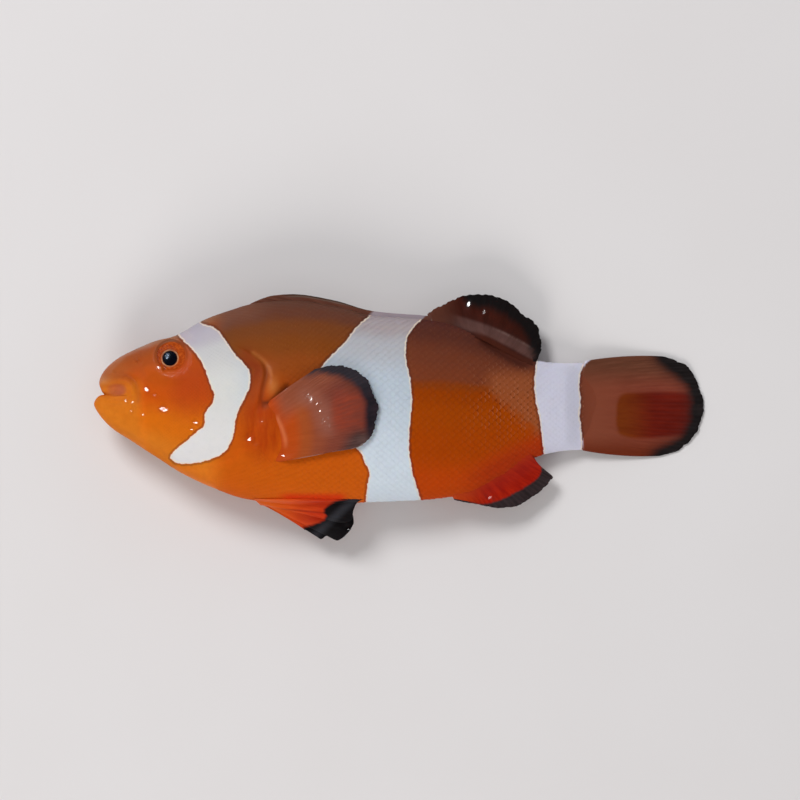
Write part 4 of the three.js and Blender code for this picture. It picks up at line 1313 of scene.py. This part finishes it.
class CLOWNFISH_OT_skin(bpy.types.Operator):
    """Makes the one skin over head and body, with lips, mouth, gill covers and eye sockets"""

    bl_idname = "clownfish.skin"
    bl_label = "Skin"

    def execute(self, context):
        sizes = context.scene.clownfish_sizes
        around = sizes.skin_rings
        angles = np.linspace(0, 2 * np.pi, around, endpoint=False)
        grid, _ = skin_grid(body_stations(), angles, sizes.skin_depth / MM)
        values = skin_values(grid[..., 0], grid[..., 1])
        # The mouth's recess is rings that go in from the lips and narrow.
        lips, mouth_rings, mouth_depth, mouth_level, narrowed = grid[0], 8, 2.4, 3.15, 0.35
        level = middle_plane(lips[:, 0])
        inner = []
        for share in np.arange(mouth_rings, 0, -1) / mouth_rings:
            ring = lips.copy()
            ring[:, 0] += mouth_depth * share
            ring[:, 2] = level + (lips[:, 2] - level) * (1 - narrowed * share)
            ring[:, 1] += (mouth_level - lips[:, 1]) * -0.5 * np.sin(np.pi * share)
            inner.append(ring)
        rings = np.concatenate([np.array(inner), grid])
        for key, value in values.items():
            inside = np.repeat(value[:1], len(inner), 0)
            values[key] = np.concatenate([np.ones_like(inside) if key == "mouth" else inside, value])
        # A fan of faces closes the recess, and one closes the tail's end.
        points = np.vstack([rings.reshape(-1, 3), rings[0].mean(0), rings[-1].mean(0)])
        faces = rings_to_faces(len(rings), around)
        first, last = len(points) - 2, len(points) - 1
        rear = (len(rings) - 1) * around
        for k in range(around):
            after = (k + 1) % around
            faces += [[first, after, k], [last, rear + k, rear + after]]
        for key, value in values.items():
            values[key] = np.concatenate([value.ravel(), [value[0].mean(), value[-1].mean()]])
        add_piece("skin", points, faces, skin_material(), FLESH, values)
        return {"FINISHED"}


class Flank:
    """One side of the skin, to root scales on.

    A place is how far along the fish a root lies, and a spot is how far it lies up or down from the flank's
    middle, over the skin. Their ring and column tell where that is in the skin's grid.
    """

    ARC_REACH, ARC_STEPS = 24, 16  # how far up and down spots go, and how many steps each millimetre has

    def __init__(self, stations, grid, normal):
        self.grid, self.normal = grid, normal
        middle, steps = grid.shape[1] // 2, np.linalg.norm(np.diff(grid, axis=1), axis=-1)
        self.arc = np.concatenate([np.zeros((len(grid), 1)), steps.cumsum(1)], 1)
        self.arc -= self.arc[:, middle : middle + 1]
        self.along = FLANK_LINE(stations)[:, 0]
        self.run = np.concatenate([[0], np.abs(np.diff(self.along)).cumsum()])
        spots = np.linspace(-self.ARC_REACH, self.ARC_REACH, 2 * self.ARC_REACH * self.ARC_STEPS + 1)
        self.columns = np.array([np.interp(spots, arc, np.arange(len(arc))) for arc in self.arc])[..., None]

    def look_up(self, table, ring, column):
        """A table's value between its rings and columns."""
        i, k = np.floor(ring).astype(int), np.floor(column).astype(int)
        i, k = np.clip(i, 0, table.shape[0] - 2), np.clip(k, 0, table.shape[1] - 2)
        f, g = (ring - i)[..., None], (column - k)[..., None]
        return (table[i, k] * (1 - f) * (1 - g) + table[i + 1, k] * f * (1 - g)
                + table[i, k + 1] * (1 - f) * g + table[i + 1, k + 1] * f * g)

    def ring_and_column(self, place, spot):
        ring = np.interp(place, self.run, np.arange(len(self.run)))
        return ring, self.look_up(self.columns, ring, (spot + self.ARC_REACH) * self.ARC_STEPS)[..., 0]

    def roots(self, unit):
        """Rows of roots from the snout to the tail, every other one moved half a scale: place, spot, size."""
        first_x, before_end, row_gap, edge_gap, most = -38.2, 0.4, 0.56, 0.05, 45
        spacing = smooth([
            [-39, 0.44], [-34, 0.48], [-27, 0.56], [-20, 0.76], [-13, 0.98], [10, 1.03], [20, 0.86],
            [30, 0.7],
        ])
        roots, place, odd = [], float(np.interp(first_x, self.along, self.run)), 0
        while place < self.run[-1] - before_end:
            size = unit * float(spacing(np.interp(place, self.run, self.along))[0])
            low, high = (np.interp(place, self.run, self.arc[:, end]) for end in (0, -1))
            spots = (np.arange(-most, most + 1) + odd / 2) * size
            spots = spots[(spots > low + edge_gap) & (spots < high - edge_gap)]
            roots += [(place, spot, size) for spot in spots]
            place, odd = place + row_gap * size, 1 - odd
        return np.array(roots)


def scaled_depth(x, y):
    """How far inside the scaled skin a place lies, below 0 on the bare skin of face, gills and fin roots."""
    gill, nape = past(x, y, GILL_EDGE, WHOLE_FISH), past(x, y, NAPE_SCALES, WHOLE_FISH)
    cheek = np.minimum.reduce([
        (oval(x, y, EYE_PLACE, (3.3, 3.3)) - 1) * 3,
        (x + 37.4 - 1.2 * np.maximum(y - 5.5, 0)) * 0.8,
        -gill - 0.45,
        y + 7.4,
        (oval(x, y, (-41, 3), (3.6, 6)) - 1) * 3,
    ])
    behind = np.where(x > -27, gill - 0.55, -1)
    bare = np.maximum.reduce([
        1 - oval(x, y, (-19.0, 0.9), (2.3, 7.8)),
        1.1 - np.hypot(x + 21.8, y + 3.7),
        0.55 - np.abs(signed_distance(x, y, BACK_FIN_GROOVE)[0]),
        x - 26.9,
    ])
    return np.where(bare > 0, -1, np.maximum.reduce([cheek, np.minimum(behind, 10), nape * (gill > -8)]))


class CLOWNFISH_OT_scales(bpy.types.Operator):
    """Covers both sides with overlapping scales that carry the skin's markings, smallest on the cheeks"""

    bl_idname = "clownfish.scales"
    bl_label = "Scales"

    def execute(self, context):
        sizes, stations = context.scene.clownfish_sizes, body_stations()
        around, quarter = 540, 135
        angles = np.linspace(0, 2 * np.pi, around + 1)
        tables = skin_grid(stations, angles[:-1], sizes.skin_depth / MM)
        grid, normal = (np.concatenate([table, table[:, :1]], 1) for table in tables)
        material = scale_material()
        for side, turn in (("left", 0), ("right", 2 * quarter)):
            sector = slice(turn, turn + 2 * quarter + 1)
            self.cover(side, Flank(stations, grid[:, sector], normal[:, sector]), sizes, material)
        return {"FINISHED"}

    def cover(self, side, flank, sizes, material):
        """Chooses the roots that lie on scaled skin, and makes one side's two coat pieces."""
        roots = flank.roots(sizes.scale_size / MM)
        random = np.random.default_rng(7)
        roots[:, :2] += random.normal(0, 0.02, (len(roots), 2)) * roots[:, 2:]
        ring, column = flank.ring_and_column(roots[:, 0], roots[:, 1])
        x, y, _ = np.moveaxis(flank.look_up(flank.grid, ring, column), -1, 0)
        depth, join, least, most = scaled_depth(x, y), -19, 0.05, 1.3
        keep = (depth > least) & (np.abs(height_share(x, y)) < most)
        for part, chosen, rows in (("front", keep & (x < join), 5), ("rear", keep & (x >= join), 6)):
            self.shingle(f"scales_{side}_{part}", roots[chosen], depth[chosen], rows, flank, sizes, material)

    def shingle(self, name, roots, depth, rows, flank, sizes, material):
        """Makes one coat piece, with a scale at each root and with rows by across points on each scale."""
        # One scale: u runs along the fish, v across it, from the hidden root to the round rear edge.
        across = 7
        u, v = np.meshgrid(np.linspace(0, 1, rows), np.linspace(-1, 1, across), indexing="ij")
        u, v = u.ravel(), v.ravel()
        rounded = np.sqrt(np.clip(1 - (np.clip(u - 0.45, 0, 1) / 0.6) ** 2.4, 0, 1))
        back, spread = -0.55 + 1.4 * u - 0.16 * u * v**2, 0.62 * rounded * (0.75 + 0.25 * ease(u * 3)) * v
        lift = -0.6 + 1.6 * u - 0.35 * v**2 * (0.4 + u)
        size = roots[:, 2:]
        ring, column = flank.ring_and_column(roots[:, :1] + back * size, roots[:, 1:2] + spread * size)
        up = flank.look_up(flank.normal, ring, column)
        up /= np.linalg.norm(up, axis=-1, keepdims=True)
        # Scales stand least where the scaled skin begins and where a wet pore fills them.
        random = np.random.default_rng(11)
        fade = ease(depth / 2.2)[:, None]
        stands = sizes.scale_lift / MM * size * random.uniform(0.85, 1.15, size.shape) * (0.35 + 0.65 * fade)
        base = flank.look_up(flank.grid, ring, column)
        stands = stands * (1 - wetness(base[..., 0], base[..., 1]).max(1, keepdims=True))
        points = base + up * (stands * lift + 0.012)[..., None]
        points[..., 2] = np.maximum(points[..., 2], CLEARANCE / 2)
        many, each = points.shape[:2]
        values = skin_values(points[..., 0], points[..., 1])
        values["lap"] = u * fade + 0.73 * (1 - fade)
        values["ring"] = np.broadcast_to(np.hypot(u - 0.1, v * 0.6), (many, each))
        i, k = np.meshgrid(np.arange(rows - 1), np.arange(across - 1), indexing="ij")
        a = (i * across + k).ravel()
        one = np.stack([a, a + across, a + across + 1, a + 1], -1)
        faces_out = np.cross(points[0, across] - points[0, 0], points[0, 1] - points[0, 0]) @ up[0, 0]
        one = one[:, ::-1] if faces_out < 0 else one
        faces = (one[None] + np.arange(many)[:, None, None] * each).reshape(-1, 4)
        piece = add_piece(name, points.reshape(-1, 3), faces.tolist(), material, (), values)
        # Each scale has its own small patch of the map, at its root's place on the skin unrolled.
        patch_size, margin = 0.003, 0.02
        rings, columns = flank.grid.shape[:2]
        home = np.stack([ring.mean(1) / rings, column.mean(1) / columns], -1) * (1 - 2 * margin) + margin
        patch = np.stack([u - 0.5, v * 0.5], -1) * patch_size
        layer = piece.data.uv_layers.new(name="OFBake")
        flat = (home[:, None] + patch[None]).reshape(-1, 2)[faces.ravel()]
        layer.data.foreach_set("uv", flat.astype(np.float32).ravel())


class CLOWNFISH_OT_middle_fins(bpy.types.Operator):
    """Makes the tail fin, both parts of the back fin and the anal fin"""

    bl_idname = "clownfish.middle_fins"
    bl_label = "Tail, back and anal fins"

    def execute(self, context):
        sizes = context.scene.clownfish_sizes

        def upright(x, y, s, t):
            """In the middle plane."""
            return middle_plane(x)

        def soft_back(x, y, s, t):
            """Leans up out of the middle plane along its root, over the sheath."""
            leaning = np.interp(x, [5, 12.3, 14.7, 16.9, 20.3], [0.7, 1.1, 0.95, 0.75, 0.6])
            return middle_plane(x) + 0.1 + ease((s - 0.06) / 0.3) * bell(t, 0.42) * leaning

        fin_sheet(
            "tail_fin_web", TAIL_ROOT, TAIL_EDGE,
            fin_material("tail_fin_wet", paint_tail, (0.35, 0.8, 0.08), 0.1),
            "tail_fin", sizes.tail_rays, upright, 301, 76, half=0.14, root_half=0.34, flare=6,
            ray_relief=0.025, bare_root=4, branch=0.42, bow=0.35, values=tail_values,
        )
        fin_sheet(
            "back_fin_spines_web", SPINES_ROOT, SPINES_EDGE,
            fin_material("back_spines_wet", paint_spines, (0.7, 0.7, 0.2), 0.1),
            "back_fin_spines", 10, upright, 260, 20, half=0.26, root_half=0.75, flare=1.3, ray_relief=0.06,
            bare_root=1.0, branch=2.0, teeth=0.04, waves=0.03,
            values=lambda x, y: {"bar_here": bar_cover(x, y, MIDDLE_BAR)},
        )
        fin_sheet(
            "back_fin_soft_web", BACK_ROOT, BACK_EDGE,
            fin_material("back_fin_wet", paint_back, (0.2, 0.8, 0.04), 0.12),
            "back_fin_soft", sizes.back_rays, soft_back, 301, 60, half=0.13, root_half=0.62, flare=1.6,
            ray_relief=0.015, teeth=0.16, values=back_values,
            band=lambda x, y: 0.3 * bell(signed_distance(x, y, BACK_BAND)[0], 0.8) * ease((x - 6) / 4),
        )
        fin_sheet(
            "anal_fin_web", ANAL_ROOT, ANAL_EDGE,
            fin_material("anal_fin_wet", paint_anal, (0.45, 0.8, 0.12), 0.25),
            "anal_fin", 13, lambda x, y, s, t: middle_plane(x) + 0.35 * bell(t, 0.4), 241, 52, half=0.13,
            root_half=1.0, flare=2.4, ray_relief=0.03, teeth=0.08,
            values=lambda x, y: {"margin": past(x, y, ANAL_BLACK)},
        )
        return {"FINISHED"}


class CLOWNFISH_OT_paired_fins(bpy.types.Operator):
    """Makes the breast fins and the folded belly fins"""

    bl_idname = "clownfish.paired_fins"
    bl_label = "Breast and belly fins"

    def execute(self, context):
        sizes = context.scene.clownfish_sizes
        flesh = fin_material("breast_fin_wet", paint_breast, (0.25, 0.9, 0.04), 0.1)
        belly = fin_material("belly_fin_wet", paint_belly, (0.2, 0.7, 0.06), 0.2)

        def over_flank(x, y, s, t):
            """Rooted in the flank, and lifted off it further out."""
            rooted = 1 - ease(t / 0.32)
            lift = 0.55 * ease(t / 0.5) + 0.8 * (1 - s) * bell(t - 0.38, 0.28) * (1 - rooted)
            follows = (1 - ease((t - 0.2) / 0.3)) * relief(x, y)
            return middle_plane(x) + flank_rise(x, y) + lift - 0.82 * rooted + follows

        def over_belly(x, y, s, t):
            """Over the belly's edge, and dipped at its root and its upper edge."""
            dip = middle_plane(x) - 0.5 * (1 - ease(t / 0.25)) - 0.6 * (1 - ease(s / 0.14))
            return dip + np.maximum(flank_rise(x, y) + 0.1, 2.1 - 1.4 * s - 0.6 * t)

        def under_belly(x, y, s, t):
            """Hangs from the belly's edge towards the ground, a little wavy."""
            return middle_plane(x) + 0.6 - 1.4 * s - 2.4 * t + 0.2 * np.sin(s * 9)

        fin_sheet(
            "breast_fin_left_web", BREAST_ROOT, LEFT_BREAST_EDGE, flesh, "breast_fin_left", sizes.breast_rays,
            over_flank, 341, 84, half=0.12, root_half=0.5, flare=3.4, ray_relief=0.03, bare_root=7,
            branch=0.45, bow=0.12, teeth=0.18, waves=0.12, values=breast_values,
            band=lambda x, y: 0.1 * breast_values(x, y)["crest"],
        )
        fin_sheet(
            "breast_fin_right_web", BREAST_ROOT, RIGHT_BREAST_EDGE, flesh, "breast_fin_right",
            sizes.breast_rays, lambda x, y, s, t: np.full_like(x, FIN_LEVEL), 171, 30, half=0.1,
            root_half=0.2, ray_relief=0.04, waves=0.0, values=breast_values,
        )
        fin_sheet(
            "belly_fin_left_web", LEFT_BELLY_ROOT, LEFT_BELLY_EDGE, belly, "belly_fin_left", 5, over_belly,
            161, 64, half=0.14, root_half=0.4, flare=3, ray_relief=0.02, teeth=0.04, waves=0.2,
            values=belly_values,
        )
        fin_sheet(
            "belly_fin_right_web", RIGHT_BELLY_ROOT, RIGHT_BELLY_EDGE, belly, "belly_fin_right", 5,
            under_belly, 181, 64, half=0.16, root_half=0.4, flare=3, ray_relief=0.02, bow=-0.2,
            teeth=0.05, waves=0.25, values=belly_values,
        )
        return {"FINISHED"}


class CLOWNFISH_OT_eyes(bpy.types.Operator):
    """Makes both eyes, each a domed iris and pupil under a clear wet cornea"""

    bl_idname = "clownfish.eyes"
    bl_label = "Eyes"

    def execute(self, context):
        sizes, colours = context.scene.clownfish_sizes, context.scene.clownfish_colours
        radius, pupil = sizes.eye_radius / MM, sizes.pupil_radius / MM
        iris_look, cornea_look = self.iris_material(colours, pupil), self.cornea_material()
        level = (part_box("eye_left")[1].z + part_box("eye_right")[0].z) / 2 / MM
        centre, around, outward = np.array(EYE_PLACE), 96, 44
        turn, out = np.meshgrid(
            np.linspace(0, 2 * np.pi, around, endpoint=False), np.linspace(0.02, 1, outward), indexing="ij")
        # Each dome's middle, edge radius, rise over the fold's level, radius of curve, lean and material.
        domes = {
            "iris": (centre, radius, 0.1, 9.0, EYE_LEAN, iris_look),
            "cornea": (centre + PUPIL_SHIFT, 2.05, 0.42, 3.0, CORNEA_LEAN, cornea_look),
        }
        for node, side in (("eye_left", 1), ("eye_right", -1)):
            for part, (middle, edge, rise, curve, lean, look) in domes.items():
                r = out * edge
                x, y = middle[0] + r * np.cos(turn), middle[1] + r * np.sin(turn)
                dome = rise + np.sqrt(curve**2 - r**2) - curve
                if part == "iris":
                    # The pupil is sunk inside a raised ring, and the iris's edge goes in under the fold.
                    gap = np.hypot(x - centre[0] - PUPIL_SHIFT[0], y - centre[1] - PUPIL_SHIFT[1])
                    past_pupil = gap - pupil
                    dome = dome - 0.1 * (1 - ease(past_pupil / 0.22)) + 0.04 * bell(past_pupil - 0.2, 0.14)
                    dome = dome - 0.25 * ease((out - 0.94) / 0.06)
                tilt = lean[0] * (x - middle[0]) + lean[1] * (y - middle[1])
                tilt = tilt + np.dot(EYE_LEAN, middle - centre)
                z = level + side * (EYE_RIM + dome + tilt)
                rings = np.stack([x, y, z], -1).transpose(1, 0, 2)
                points = np.vstack([rings.reshape(-1, 3), rings[0].mean(0)])
                cap = [[len(points) - 1, (k + 1) % around, k] for k in range(around)]
                faces = rings_to_faces(len(rings), around) + cap
                if side > 0:
                    faces = [face[::-1] for face in faces]
                away = {"away": np.hypot(*(points[:, :2] - centre - PUPIL_SHIFT).T)}
                replaced = (node,) if part == "iris" else ()
                add_piece(f"{node}_{part}", points, faces, look, replaced, away)
        return {"FINISHED"}

    def iris_material(self, colours, pupil):
        """Fibred orange with a bright ring round a black pupil."""
        material, w, shader = new_material("eye_iris_wet")
        away, position = w.attribute("away"), w.place()[2]
        fibre = w.noise(position, 2.6, 4.0)
        dull, lit = toned(colours.iris, 0.72, 0.62, 0.6), toned(colours.iris, 1.15, 1.3, 1.2)
        iris = w.mix(w.step(fibre, 0.35, 0.7), dull, lit)
        uneven = w.plus(away, w.times(w.minus(fibre, 0.5), 0.12))
        bright = w.plus(w.times(w.step(w.noise(position, 0.8, 2.0), 0.35, 0.65), 0.4), 0.25)
        iris = w.mix(w.times(w.hump(uneven, pupil + 0.13, 0.15), bright), iris, tuple(colours.iris_ring))
        black = w.fall(away, pupil - 0.02, pupil + 0.06)
        w.put(shader.inputs["Base Color"], w.mix(black, iris, tuple(colours.pupil)))
        w.put(shader.inputs["Roughness"], w.plus(w.times(fibre, 0.2), 0.25))
        shader.inputs["Specular IOR Level"].default_value = 0.0
        return material

    def cornea_material(self):
        """Clear, and wet enough to mirror the lamps faintly."""
        clear, w, shader = new_material("cornea_clear")
        w.tree.nodes.remove(shader)
        glass, gloss = w.add("ShaderNodeBsdfTransparent"), w.add("ShaderNodeBsdfGlossy")
        gloss.inputs["Roughness"].default_value = 0.16
        gloss.inputs["Color"].default_value = (0.62, 0.78, 1.0, 1)
        facing = w.add("ShaderNodeFresnel")
        facing.inputs["IOR"].default_value = 1.26
        blend = w.add("ShaderNodeMixShader")
        w.tree.links.new(facing.outputs[0], blend.inputs[0])
        w.tree.links.new(glass.outputs[0], blend.inputs[1])
        w.tree.links.new(gloss.outputs[0], blend.inputs[2])
        output = next(node for node in w.tree.nodes if node.type == "OUTPUT_MATERIAL")
        w.tree.links.new(blend.outputs[0], output.inputs["Surface"])
        return clear


class CLOWNFISH_PT_panel(bpy.types.Panel):
    """Lists the fish's steps and settings"""

    bl_label = "Clownfish"
    bl_idname = "CLOWNFISH_PT_panel"
    bl_space_type = "VIEW_3D"
    bl_region_type = "UI"
    bl_category = "Clownfish"

    def draw(self, context):
        for settings in (context.scene.clownfish_sizes, context.scene.clownfish_colours):
            for name in settings.bl_rna.properties.keys():
                if name not in ("rna_type", "name"):
                    self.layout.prop(settings, name)
        for step in STEPS:
            self.layout.operator(step.bl_idname)


STEPS = (
    CLOWNFISH_OT_stage,
    CLOWNFISH_OT_skin,
    CLOWNFISH_OT_scales,
    CLOWNFISH_OT_middle_fins,
    CLOWNFISH_OT_paired_fins,
    CLOWNFISH_OT_eyes,
)
CLASSES = (ClownfishSizes, ClownfishColours, *STEPS, CLOWNFISH_PT_panel)


def register():
    for cls in CLASSES:
        bpy.utils.register_class(cls)
    bpy.types.Scene.clownfish_sizes = PointerProperty(type=ClownfishSizes)
    bpy.types.Scene.clownfish_colours = PointerProperty(type=ClownfishColours)


def unregister():
    del bpy.types.Scene.clownfish_colours
    del bpy.types.Scene.clownfish_sizes
    for cls in reversed(CLASSES):
        bpy.utils.unregister_class(cls)


def main():
    """Builds the whole fish."""
    register()
    bpy.ops.clownfish.stage()
    bpy.ops.clownfish.skin()
    bpy.ops.clownfish.scales()
    bpy.ops.clownfish.middle_fins()
    bpy.ops.clownfish.paired_fins()
    bpy.ops.clownfish.eyes()


if __name__ == "__main__":
    main()
